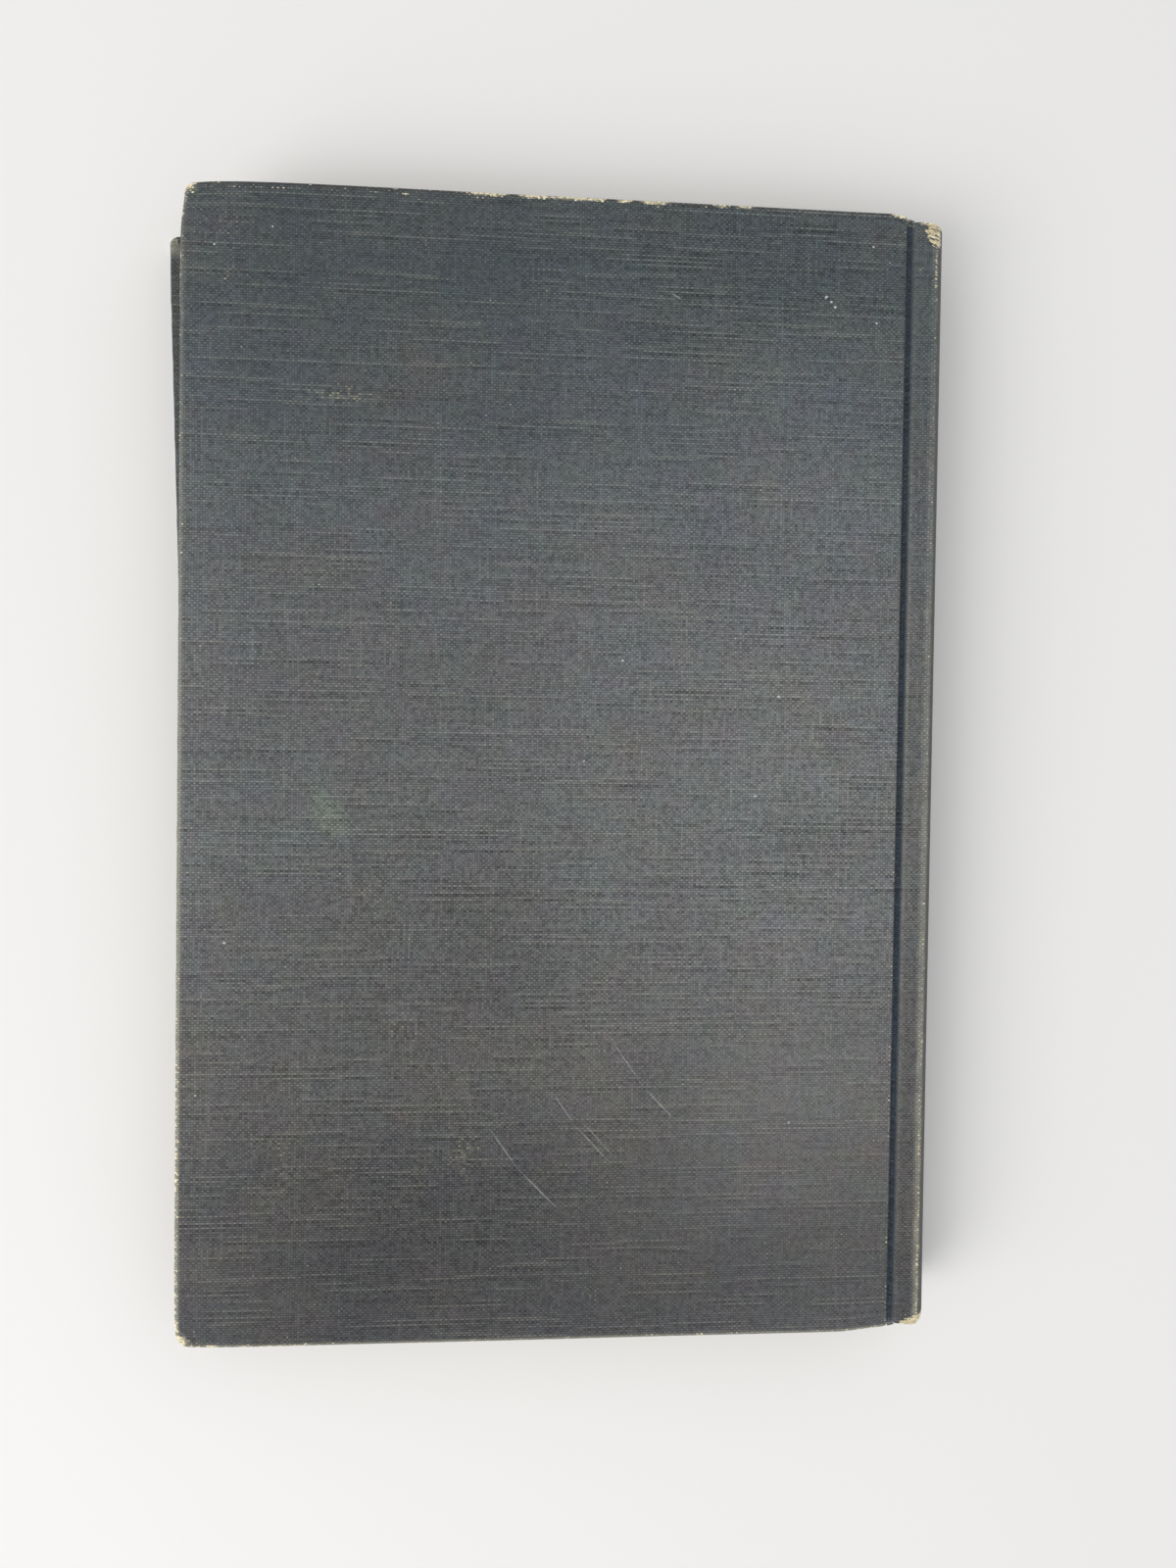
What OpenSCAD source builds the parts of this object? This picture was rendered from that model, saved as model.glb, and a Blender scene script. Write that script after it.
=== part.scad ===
// Cloth-bound hardback with a round back, lying on its front cover, slightly cocked.
// X runs from the fore edge to the spine, Y from the tail to the head, Z up through the book.

/* [Boards] */
// Height of the covers from tail to head
cover_h = 223.2; // [150:0.1:300]
// Width of a cover from its fore edge to the groove
cover_w = 140.4; // [90:0.1:200]
// Thickness of the binder's board
board_t = 2.2; // [1.6:0.1:3.2]
// Radius of the rubbed fore corners at the head
head_corner_r = 1.6; // [0.8:0.1:4]
// Radius of the bumped fore corners at the tail
tail_corner_r = 2.6; // [0.8:0.1:4]
// How far the tail edge is worn back beside the spine
tail_bump_d = 0.9; // [0:0.1:2]
// Length over which it is worn back
tail_bump_w = 9; // [2:0.5:20]
// How far the head edge is worn back beside the spine
head_bump_d = 0.4; // [0:0.1:2]
// Length over which it is worn back at the head
head_bump_w = 3; // [2:0.5:20]
// Rounding along the edges of the covers
edge_r = 0.6; // [0.3:0.05:0.9]

/* [Cloth and paper] */
// Thickness of the book cloth
cloth_t = 0.4; // [0.3:0.05:0.6]
// Width of the cloth turned in over the inner side of the boards
turn_in = 15; // [8:0.5:25]
// Thickness of an endpaper leaf
endpaper_t = 0.2; // [0.1:0.05:0.4]
// Bond line between glued layers
glue_t = 0.05; // [0.02:0.01:0.1]
// Width of the open seam where two turn-ins meet at a corner
mitre_w = 0.4; // [0.2:0.1:0.8]

/* [Pages] */
// Thickness of the pages between the flyleaves
pages_t = 11; // [8:0.5:30]
// Width by which the covers stand out past the pages
cover_square = 3; // [1:0.5:6]
// Depth of the hollow in the fore edge
fore_hollow = 3; // [0:0.5:5]
// Running gap between a pastedown and its flyleaf
leaf_gap = 0.15; // [0.1:0.05:0.4]

/* [Spine] */
// Width of each groove between cover and shoulder
groove_w = 1.5; // [1.2:0.1:4]
// Gap between the two halves of the cloth in a groove
joint_gap = 0.3; // [0.2:0.05:0.6]
// Width of the flat shoulder beside the groove
shoulder_w = 4.4; // [3:0.1:7]
// How far the round back stands out past the shoulders
round_back = 3.2; // [3:0.1:6]
// How far the worn ends of the spine fall short of the covers
cap_dip = 1.6; // [0.5:0.1:2.5]
// How much less they fall short on the floors of the grooves
groove_rise = 0.6; // [0:0.1:1]
// How much further they fall short on the ridges and the round back
ridge_dip = 0.3; // [0:0.1:1.5]
// Width over which this step is spread
dip_w = 1.2; // [0.8:0.1:2]
// Thickness of the card strip in the spine
inlay_t = 0.6; // [0.4:0.05:1]
// Free space in the hollow back
hollow_gap = 0.35; // [0.2:0.05:1]
// Thickness of the paper lining on the back of the pages
lining_t = 0.3; // [0.2:0.05:0.5]
// Thickness of the mull
mull_t = 0.25; // [0.2:0.05:0.4]
// Length of the cloth turned in at the head and tail of the spine
spine_turn_in = 12; // [6:0.5:20]
// Thickness of the head and tail bands
band_d = 1.6; // [1:0.1:2.5]

/* [Lean] */
// Turn of the front cover against the back cover, seen from above
lean_deg = 1.8; // [0:0.1:3]
// Height above mid-height of the point about which the book is cocked
lean_y = -85; // [-100:1:100]

/* [Frayed head of the spine] */
// Length of the longest notch worn into the ridge of the cloth
fray_d = 1.5; // [0.5:0.1:3]
// Spacing of the notches
fray_pitch = 1.6; // [1:0.1:3]
// How many notches there are
fray_count = 4; // [1:1:8]

/* [Hidden] */
$fn = 48;

cloth_colour = [0.33, 0.34, 0.36];
board_colour = [0.62, 0.53, 0.41];
endpaper_colour = [0.88, 0.83, 0.72];
page_colour = [0.85, 0.79, 0.66];
mull_colour = [0.86, 0.84, 0.76];
lining_colour = [0.66, 0.53, 0.37];
band_colour = [0.80, 0.76, 0.66];

// Levels through the book
cover_t = 2 * cloth_t + board_t + endpaper_t;
book_t = pages_t + 2 * (cover_t + leaf_gap + endpaper_t);
half_t = book_t / 2;
inner_z = book_t - cloth_t - board_t;
lift_z = book_t - cover_t;

// Places across the book: the back groove's centre line is x = 0
wall_x = groove_w / 2;
fore_x = -wall_x - cover_w;
ridge_x = wall_x + shoulder_w;
page_h = cover_h - 2 * cover_square;
end_dip = cap_dip + ridge_dip;
page_fore_x = fore_x + cover_square;

// Round back: an arc through both ridges
back_r = (half_t * half_t + round_back * round_back) / (2 * round_back);
arc_x = ridge_x + round_back - back_r;

// Depths below the outside of the spine
inlay_d = cloth_t + glue_t;
flap_d = inlay_d + inlay_t + glue_t;
lining_d = flap_d + cloth_t + hollow_gap;
mull_d = lining_d + lining_t + glue_t;
page_d = mull_d + mull_t + glue_t;
page_shoulder_d = cloth_t + glue_t + mull_t + glue_t;

// Steps of the curved sections
round_steps = 12;
corner_steps = 3;
shoulder_steps = 3;
leaf_steps = 12;
length_steps = 4;
small_r = 0.1;
min_flat = 0.2;
band_sides = 10;
past = 1;

// Bounding box of the cocked book, for the origin at its middle
low_corner = turned([fore_x + tail_corner_r, -cover_h / 2 + tail_corner_r], lean_deg);
left_corner = turned([fore_x + head_corner_r, cover_h / 2 - head_corner_r], lean_deg);
right_corner = turned([ridge_x + round_back, -cover_h / 2], lean_deg / 2);
mid_x = (left_corner[0] - head_corner_r + right_corner[0]) / 2;
mid_y = (low_corner[1] - tail_corner_r + cover_h / 2) / 2;

// A point seen from above, turned about the point where the book is cocked
function turned(p, a) = [
    ridge_x + (p[0] - ridge_x) * cos(a) - (p[1] - lean_y) * sin(a),
    lean_y + (p[0] - ridge_x) * sin(a) + (p[1] - lean_y) * cos(a)
];

// Turn of the level z: none through the back cover, all of it through the front cover
function lean_at(z) = lean_deg * max(0, min(1, (lift_z - z) / (lift_z - cover_t)));

// A point [x, z] of a section, at the distance y from mid-height
function leaned(p, y) = concat(turned([p[0], y], lean_at(p[1])), [p[1]]);

function arc_points(centre, r, from, to, steps) =
    [for (i = [0 : steps]) centre + r * [cos(from + (to - from) * i / steps), sin(from + (to - from) * i / steps)]];

// Upper half of the section of the spine, from the floor of the groove to mid-thickness.
// flat_d and round_d are its depths below the outside, at the shoulder and on the round back.
function shoulder_r(d) = max(small_r, edge_r - d);
function shoulder_z(flat_d, round_d) = let (
    r = shoulder_r(flat_d),
    reach = back_r - round_d - r,
    flat_end = wall_x + flat_d + r + min_flat - arc_x
) min(half_t - flat_d - r, sqrt(reach * reach - flat_end * flat_end));
function ridge_centre(flat_d, round_d) = let (
    r = shoulder_r(flat_d),
    z = shoulder_z(flat_d, round_d),
    reach = back_r - round_d - r
) [arc_x + sqrt(reach * reach - z * z), z];
function upper_section(flat_d, round_d) = let (
    r = shoulder_r(flat_d),
    centre = ridge_centre(flat_d, round_d),
    flat_start = wall_x + flat_d + r,
    round_end = asin(centre[1] / (back_r - round_d - r))
) concat(
    [[joint_gap / 2, inner_z + cloth_t - half_t - flat_d]],
    [[wall_x + flat_d, inner_z + cloth_t - half_t - flat_d]],
    arc_points([flat_start, centre[1]], r, 180, 90, corner_steps),
    [for (i = [1 : shoulder_steps]) [flat_start + (centre[0] - flat_start) * i / (shoulder_steps + 1), centre[1] + r]],
    arc_points(centre, r, 90, round_end, corner_steps),
    [for (i = [1 : round_steps]) [arc_x, 0] + (back_r - round_d)
        * [cos(round_end * (1 - i / round_steps)), sin(round_end * (1 - i / round_steps))]]
);

// The whole section: the upper half and its mirror image, as [x, z] from the table up
function section(flat_d, round_d) = let (upper = upper_section(flat_d, round_d), n = len(upper)) concat(
    [for (p = upper) [p[0], half_t + p[1]]],
    [for (i = [n - 2 : -1 : 0]) [upper[i][0], half_t - upper[i][1]]]
);

// The same curve without the floor of the groove
function shoulders(flat_d, round_d) = let (s = section(flat_d, round_d)) [for (i = [1 : len(s) - 2]) s[i]];

// The round back alone, as an arc at one depth
inlay_angle = asin((half_t - cloth_t - glue_t - edge_r / 2) / (back_r - cloth_t));
function back_arc(d, angle) = [for (p = arc_points([arc_x, half_t], back_r - d, angle, -angle, 2 * round_steps)) p];

// How far an end of the case's spine falls short of the covers at the point [x, z] of its section
function on_floor(p) = p[0] < wall_x + edge_r && abs(p[1] - half_t) < inner_z + cloth_t - half_t + small_r;
function dip(p) = cap_dip - (on_floor(p) ? groove_rise : 0)
    + ridge_dip * max(0, min(1, (p[0] - ridge_x + dip_w) / dip_w));

// A solid between two long curves a and b of one length, which follows the lean of the book.
// Its ends lie at low[i] and high[i] for the curves' point i.
module leaned_solid(a, b, low, high) {
    n = len(a);
    ring = concat(a, [for (i = [n - 1 : -1 : 0]) b[i]]);
    lows = concat(low, [for (i = [n - 1 : -1 : 0]) low[i]]);
    highs = concat(high, [for (i = [n - 1 : -1 : 0]) high[i]]);
    m = 2 * n;
    points = [for (s = [0 : length_steps]) for (i = [0 : m - 1])
        leaned(ring[i], lows[i] + (highs[i] - lows[i]) * s / length_steps)];
    sides = [for (s = [0 : length_steps - 1]) for (i = [0 : m - 1]) let (
        j = (i + 1) % m, here = s * m, next = here + m
    ) each [[here + i, here + j, next + j], [here + i, next + j, next + i]]];
    top = length_steps * m;
    caps = [for (i = [0 : n - 2]) let (j = m - 1 - i) each [
        [i, j - 1, i + 1], [i, j, j - 1],
        [top + i, top + i + 1, top + j - 1], [top + i, top + j - 1, top + j]
    ]];
    polyhedron(points, concat(sides, caps));
}

// The same, with square ends at one height
module leaned_length(a, b, low, high) {
    leaned_solid(a, b, [for (p = a) low], [for (p = a) high]);
}

// Upright plate with a corner radius of its own at each fore corner and worn corners at the spine
module plate_outline(x0, x1, h, head_r, tail_r) {
    top = h / 2;
    head_start = -wall_x - head_bump_w;
    tail_start = -wall_x - tail_bump_w;
    polygon([
        [x0, -top + tail_r], [x0 + tail_r, -top],
        [tail_start, -top], [x1, -top + (x1 - tail_start) * tail_bump_d / tail_bump_w],
        [x1, top - (x1 - head_start) * head_bump_d / head_bump_w], [head_start, top],
        [x0 + head_r, top], [x0, top - head_r]
    ]);
    translate([x0 + tail_r, -top + tail_r]) circle(tail_r);
    translate([x0 + head_r, top - head_r]) circle(head_r);
}

// Rectangle with four rounded corners
module soft_rectangle(x0, x1, z0, z1, r) {
    translate([x0 + r, z0]) square([x1 - x0 - 2 * r, z1 - z0]);
    translate([x0, z0 + r]) square([x1 - x0, z1 - z0 - 2 * r]);
    for (x = [x0 + r, x1 - r], z = [z0 + r, z1 - r]) translate([x, z]) circle(r);
}

// A piece in its colour, placed with the origin below the middle of the whole book
module finished(colour) {
    color(colour) translate([-mid_x, -mid_y, 0]) children();
}

module along_y(h) {
    translate([0, h / 2, 0]) rotate([90, 0, 0]) linear_extrude(h) children();
}

// A section of [y, z] carried along X
module along_x(x0, x1) {
    translate([x0, 0, 0]) rotate([90, 0, 90]) linear_extrude(x1 - x0) children();
}

// Back cover, where it lies
module cover_board() {
    fit = cloth_t + glue_t;
    translate([0, 0, inner_z + glue_t]) linear_extrude(board_t - 2 * glue_t)
        plate_outline(fore_x + fit, -wall_x - fit, cover_h - 2 * fit, head_corner_r - cloth_t, tail_corner_r - cloth_t);
}

module board_room() {
    translate([0, 0, inner_z]) linear_extrude(board_t)
        plate_outline(fore_x + cloth_t, -wall_x - cloth_t, cover_h - 2 * cloth_t,
            head_corner_r - cloth_t, tail_corner_r - cloth_t);
}

module cover_cloth() {
    window_h = cover_h - 2 * turn_in;
    under_z = inner_z - cloth_t;
    difference() {
        intersection() {
            along_y(cover_h) {
                soft_rectangle(fore_x, -wall_x, under_z, book_t, edge_r);
                translate([fore_x + turn_in, under_z]) square([-joint_gap / 2 - fore_x - turn_in, 2 * cloth_t]);
            }
            along_x(fore_x - past, past) soft_rectangle(-cover_h / 2, cover_h / 2, under_z, book_t, edge_r);
            translate([0, 0, under_z - past]) linear_extrude(cover_t + 2 * past)
                plate_outline(fore_x, past, cover_h, head_corner_r, tail_corner_r);
        }
        board_room();
        translate([fore_x + turn_in, -window_h / 2, under_z - past]) cube([cover_w + past, window_h, past + cloth_t]);
        for (s = [-1, 1]) mitre(s);
    }
}

// Open seam from the corner of the board to the corner of the window
module mitre(s) {
    seam_l = turn_in * sqrt(2) - cover_square;
    translate([fore_x + turn_in, s * (cover_h / 2 - turn_in), inner_z - cloth_t - past])
        rotate([0, 0, s * 135]) translate([-past, -mitre_w / 2, 0]) cube([seam_l + past, mitre_w, past + cloth_t / 2]);
}

module cover_pastedown() {
    edge_x = fore_x + cover_square;
    low_z = inner_z - cloth_t - endpaper_t;
    sheet_h = cover_h - 2 * cover_square;
    inset = turn_in + glue_t;
    dish = inset + endpaper_t;
    difference() {
        union() {
            translate([edge_x, -sheet_h / 2, low_z]) cube([-joint_gap / 2 - edge_x, sheet_h, endpaper_t]);
            translate([fore_x + inset, -cover_h / 2 + inset, low_z])
                cube([-joint_gap / 2 - fore_x - inset, cover_h - 2 * inset, cloth_t + endpaper_t]);
        }
        translate([fore_x + dish, -cover_h / 2 + dish, low_z - past])
            cube([cover_w + groove_w + past, cover_h - 2 * dish, past + cloth_t]);
    }
}

// The front cover is the back cover's mirror image, turned by the lean
module to_front() {
    translate([ridge_x, lean_y, book_t]) rotate([0, 0, lean_deg]) translate([-ridge_x, -lean_y, 0])
        mirror([0, 0, 1]) children();
}

module flyleaf(low_z) {
    turn = lean_at(low_z + endpaper_t / 2);
    spine_x = wall_x + cloth_t - leaf_gap;
    translate([ridge_x, lean_y, low_z]) rotate([0, 0, turn]) translate([page_fore_x - ridge_x, -lean_y - page_h / 2, 0])
        cube([spine_x - page_fore_x, page_h, endpaper_t - glue_t / 2]);
}

module back_board() finished(board_colour) cover_board();
module back_cloth() finished(cloth_colour) cover_cloth();
module back_pastedown() finished(endpaper_colour) cover_pastedown();
module back_flyleaf() finished(endpaper_colour) flyleaf(half_t + pages_t / 2 + glue_t / 2);
module front_board() finished(board_colour) to_front() cover_board();
module front_cloth() finished(cloth_colour) to_front() cover_cloth();
module front_pastedown() finished(endpaper_colour) to_front() cover_pastedown();
module front_flyleaf() finished(endpaper_colour) flyleaf(half_t - pages_t / 2 - endpaper_t);

// Leaves with a hollow fore edge, and their backs bent out into the two shoulders.
// Each level has a point on the shoulder's wall and one on the round back; the levels of
// the leaves have a point on the fore edge as well.
module pages() {
    page_r = back_r - page_d;
    wall = wall_x + page_shoulder_d;
    reach = wall + min_flat - arc_x;
    leaf_z = pages_t / 2;
    top_z = min(half_t - page_shoulder_d, sqrt(page_r * page_r - reach * reach));
    levels = concat(
        [for (i = [0 : shoulder_steps - 1]) top_z + (leaf_z - top_z) * i / shoulder_steps],
        [for (i = [0 : leaf_steps]) leaf_z * (1 - 2 * i / leaf_steps)],
        [for (i = [1 : shoulder_steps]) -leaf_z - (top_z - leaf_z) * i / shoulder_steps]
    );
    leaf_count = leaf_steps + 1;
    level_count = len(levels);
    fore = [for (i = [0 : leaf_steps]) let (z = levels[shoulder_steps + i])
        [page_fore_x + fore_hollow * (1 - pow(z / leaf_z, 2)), half_t + z]];
    walls = [for (z = levels) [wall, half_t + z]];
    backs = [for (z = levels) [arc_x + sqrt(page_r * page_r - z * z), half_t + z]];
    outline = concat(fore, walls, backs);
    wall_0 = leaf_count;
    back_0 = leaf_count + level_count;
    ring = concat(
        [for (i = [0 : leaf_steps]) i],
        [for (i = [shoulder_steps + leaf_steps : level_count - 1]) wall_0 + i],
        [for (i = [level_count - 1 : -1 : 0]) back_0 + i],
        [for (i = [0 : shoulder_steps]) wall_0 + i]
    );
    strips = concat(
        [for (i = [0 : leaf_steps - 1]) [i, i + 1, wall_0 + shoulder_steps + i, wall_0 + shoulder_steps + i + 1]],
        [for (i = [0 : level_count - 2]) [wall_0 + i, wall_0 + i + 1, back_0 + i, back_0 + i + 1]]
    );
    finished(page_colour) leaned_outline(outline, ring, strips, page_h);
}

// A solid of one height whose ends are given as an outline, the ring of its rim and the
// strips [left, left below, right, right below] that close each end
module leaned_outline(outline, ring, strips, h) {
    m = len(outline);
    n = len(ring);
    points = [for (s = [0 : length_steps]) for (p = outline) leaned(p, h * (s / length_steps - 0.5))];
    sides = [for (s = [0 : length_steps - 1]) for (i = [0 : n - 1]) let (
        here = s * m, next = here + m, a = ring[i], b = ring[(i + 1) % n]
    ) each [[here + a, here + b, next + b], [here + a, next + b, next + a]]];
    top = length_steps * m;
    caps = [for (q = strips) each [
        [q[0], q[3], q[1]], [q[0], q[2], q[3]],
        [top + q[0], top + q[1], top + q[3]], [top + q[0], top + q[3], top + q[2]]
    ]];
    polyhedron(points, concat(sides, caps));
}

module mull() {
    finished(mull_colour) leaned_length(
        shoulders(cloth_t + glue_t + mull_t, mull_d + mull_t),
        shoulders(cloth_t + glue_t, mull_d),
        -page_h / 2 + cover_square, page_h / 2 - cover_square
    );
}

module spine_lining() {
    angle = asin(min(0.9, (half_t - cover_t) / (back_r - mull_d)));
    finished(lining_colour)
        leaned_length(back_arc(lining_d + lining_t, angle), back_arc(lining_d, angle), -page_h / 2, page_h / 2);
}

// Rolled band that follows the round of the pages' back at one end
module band(end) {
    r = band_d / 2;
    span = asin((pages_t / 2) / (back_r - page_d));
    path = arc_points([arc_x, half_t], back_r - page_d - r, span, -span, 2 * round_steps);
    y = end * (page_h / 2 + r + glue_t);
    n = len(path);
    rings = [for (p = path) let (out = (p - [arc_x, half_t]) / norm(p - [arc_x, half_t])) for (i = [0 : band_sides - 1])
        let (a = 360 * i / band_sides) leaned(p + r * cos(a) * out, y + r * sin(a))];
    tube = [for (k = [0 : n - 2]) for (i = [0 : band_sides - 1]) let (
        j = (i + 1) % band_sides, here = k * band_sides, next = here + band_sides
    ) each [[here + i, here + j, next + j], [here + i, next + j, next + i]]];
    last = (n - 1) * band_sides;
    ends = [for (i = [1 : band_sides - 2]) each [[0, i + 1, i], [last, last + i, last + i + 1]]];
    finished(band_colour) polyhedron(rings, concat(tube, ends));
}

module headband() band(1);
module tailband() band(-1);

module spine_inlay() {
    reach = cover_h / 2 - end_dip - cloth_t - glue_t;
    finished(board_colour)
        leaned_length(back_arc(inlay_d + inlay_t, inlay_angle), back_arc(inlay_d, inlay_angle), -reach, reach);
}

// Case cloth over both shoulders and the round back, turned in at its ends
module spine_cloth() {
    outer = section(0, 0);
    low = [for (p = outer) -cover_h / 2 + dip(p)];
    high = [for (p = outer) cover_h / 2 - dip(p)];
    finished(cloth_colour) difference() {
        union() {
            leaned_solid(section(cloth_t, cloth_t), outer, low, high);
            for (s = [-1, 1]) end_turn_in(s);
        }
        for (i = [0 : fray_count - 1]) fray_notch(i);
    }
}

// Hook of cloth that runs from the main sheet round the end of the inlay, at the head or the tail
module end_turn_in(s) {
    end_y = cover_h / 2 - end_dip - glue_t;
    hook = [
        [cloth_t / 2, end_y], [flap_d + cloth_t, end_y], [flap_d + cloth_t, end_y - spine_turn_in],
        [flap_d, end_y - spine_turn_in], [flap_d, end_y - cloth_t], [cloth_t / 2, end_y - cloth_t]
    ];
    sides = len(hook);
    section_points = s > 0 ? hook : [for (i = [sides - 1 : -1 : 0]) hook[i]];
    rings = [for (i = [0 : 2 * round_steps]) let (a = inlay_angle * (1 - i / round_steps)) [for (p = section_points)
        leaned([arc_x, half_t] + (back_r - p[0]) * [cos(a), sin(a)], s * p[1])]];
    last = 2 * round_steps * sides;
    walls = [for (k = [0 : 2 * round_steps - 1]) for (i = [0 : sides - 1]) let (
        j = (i + 1) % sides, here = k * sides, next = here + sides
    ) each [[here + i, here + j, next + j], [here + i, next + j, next + i]]];
    cut = s > 0 ? [[0, 1, 4], [0, 4, 5], [1, 2, 3], [1, 3, 4]] : [[0, 1, 5], [1, 4, 5], [2, 3, 4], [1, 2, 4]];
    ends = [for (t = cut) each [[t[0], t[2], t[1]], [last + t[0], last + t[1], last + t[2]]]];
    polyhedron([for (r = rings) each r], concat(walls, ends));
}

// Notch worn into the ridge beside the head, shorter the further it lies from the end
module fray_notch(i) {
    depth = fray_d * (1 - i / (fray_count + 1));
    y = cover_h / 2 - end_dip - fray_pitch * (i + 1.2);
    translate([ridge_x - depth, y, book_t - cloth_t - glue_t]) linear_extrude(past)
        polygon([[0, 0], [depth + past, fray_pitch / 4], [depth + past, -fray_pitch / 4]]);
}

back_board();
back_cloth();
back_pastedown();
back_flyleaf();
front_board();
front_cloth();
front_pastedown();
front_flyleaf();
pages();
mull();
spine_lining();
headband();
tailband();
spine_inlay();
spine_cloth();
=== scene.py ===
"""Looks of a worn hardback in linen-weave book cloth, lying on its front cover, back cover up."""

import logging
import math
from dataclasses import dataclass, field
from enum import Enum
from typing import Any, Callable, Sequence

import bpy
import numpy as np
from mathutils import Matrix, Vector


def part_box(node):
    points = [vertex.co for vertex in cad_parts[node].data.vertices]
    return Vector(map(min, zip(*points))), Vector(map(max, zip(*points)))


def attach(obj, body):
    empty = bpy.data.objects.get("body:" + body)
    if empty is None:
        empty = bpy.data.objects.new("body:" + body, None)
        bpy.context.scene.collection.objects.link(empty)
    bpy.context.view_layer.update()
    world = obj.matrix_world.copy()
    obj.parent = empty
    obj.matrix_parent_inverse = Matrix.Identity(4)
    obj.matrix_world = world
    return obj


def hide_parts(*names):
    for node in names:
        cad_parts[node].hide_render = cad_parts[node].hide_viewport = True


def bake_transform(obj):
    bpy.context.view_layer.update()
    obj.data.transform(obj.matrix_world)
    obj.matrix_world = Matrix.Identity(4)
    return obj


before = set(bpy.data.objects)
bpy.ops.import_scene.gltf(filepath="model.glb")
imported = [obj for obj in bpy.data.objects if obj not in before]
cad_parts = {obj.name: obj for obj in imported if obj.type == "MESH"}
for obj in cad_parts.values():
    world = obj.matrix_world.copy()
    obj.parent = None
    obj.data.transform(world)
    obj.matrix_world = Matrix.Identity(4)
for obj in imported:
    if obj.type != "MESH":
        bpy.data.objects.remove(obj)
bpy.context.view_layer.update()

log = logging.getLogger("hardback")
Array = np.ndarray
MM = 0.001


class Side(Enum):
    """The two covers of the book, and the body each rides on."""

    BACK = "back"
    FRONT = "front"

    @property
    def body(self) -> str:
        """Name of the cover's body."""
        return f"{self.value}_cover"


class End(Enum):
    """The two ends of the book along Y, as a sign."""

    HEAD = 1
    TAIL = -1


def linear(hex_colour: str) -> tuple[float, float, float, float]:
    """Turns an sRGB hex colour into linear values.

    Args:
        hex_colour: Six hex digits, such as "A08050".

    Returns:
        Linear red, green, blue and an alpha of one.
    """
    parts = [int(hex_colour[i:i + 2], 16) / 255 for i in (0, 2, 4)]
    red, green, blue = (p / 12.92 if p <= 0.04045 else ((p + 0.055) / 1.055) ** 2.4 for p in parts)
    return red, green, blue, 1.0


def smooth(x: Array) -> Array:
    """Eases x from 0 at 0 to 1 at 1."""
    t = np.clip(x, 0.0, 1.0)
    return t * t * (3 - 2 * t)


def bell(x: Array, width: float) -> Array:
    """Is 1 where x is 0 and falls off on both sides as a bell curve."""
    return np.exp(-((x / width) ** 2))


def bump_at(x: Array, low: float, high: float, soft: float) -> Array:
    """Is 1 for x between low and high, and falls to 0 over soft on both sides."""
    return smooth((x - low) / soft + 1) * smooth((high - x) / soft + 1)


def add_node(
    tree: bpy.types.NodeTree, kind: str, inputs: dict[Any, Any] | None = None, **settings: Any
) -> bpy.types.Node:
    """Adds one node to a node tree.

    Args:
        tree: The node tree.
        kind: The node's type name.
        inputs: Value or output socket for each input, by its name or number.
        **settings: Attributes to set on the node.

    Returns:
        The new node.
    """
    node = tree.nodes.new(kind)
    for name, value in settings.items():
        setattr(node, name, value)
    for key, value in (inputs or {}).items():
        if isinstance(value, bpy.types.Node):
            value = value.outputs[0]
        if isinstance(value, bpy.types.NodeSocket):
            tree.links.new(value, node.inputs[key])
        else:
            node.inputs[key].default_value = value
    return node


def box_size(name: str, axis: int) -> float:
    """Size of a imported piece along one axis, in millimetres."""
    low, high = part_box(name)
    return (high[axis] - low[axis]) / MM


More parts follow.
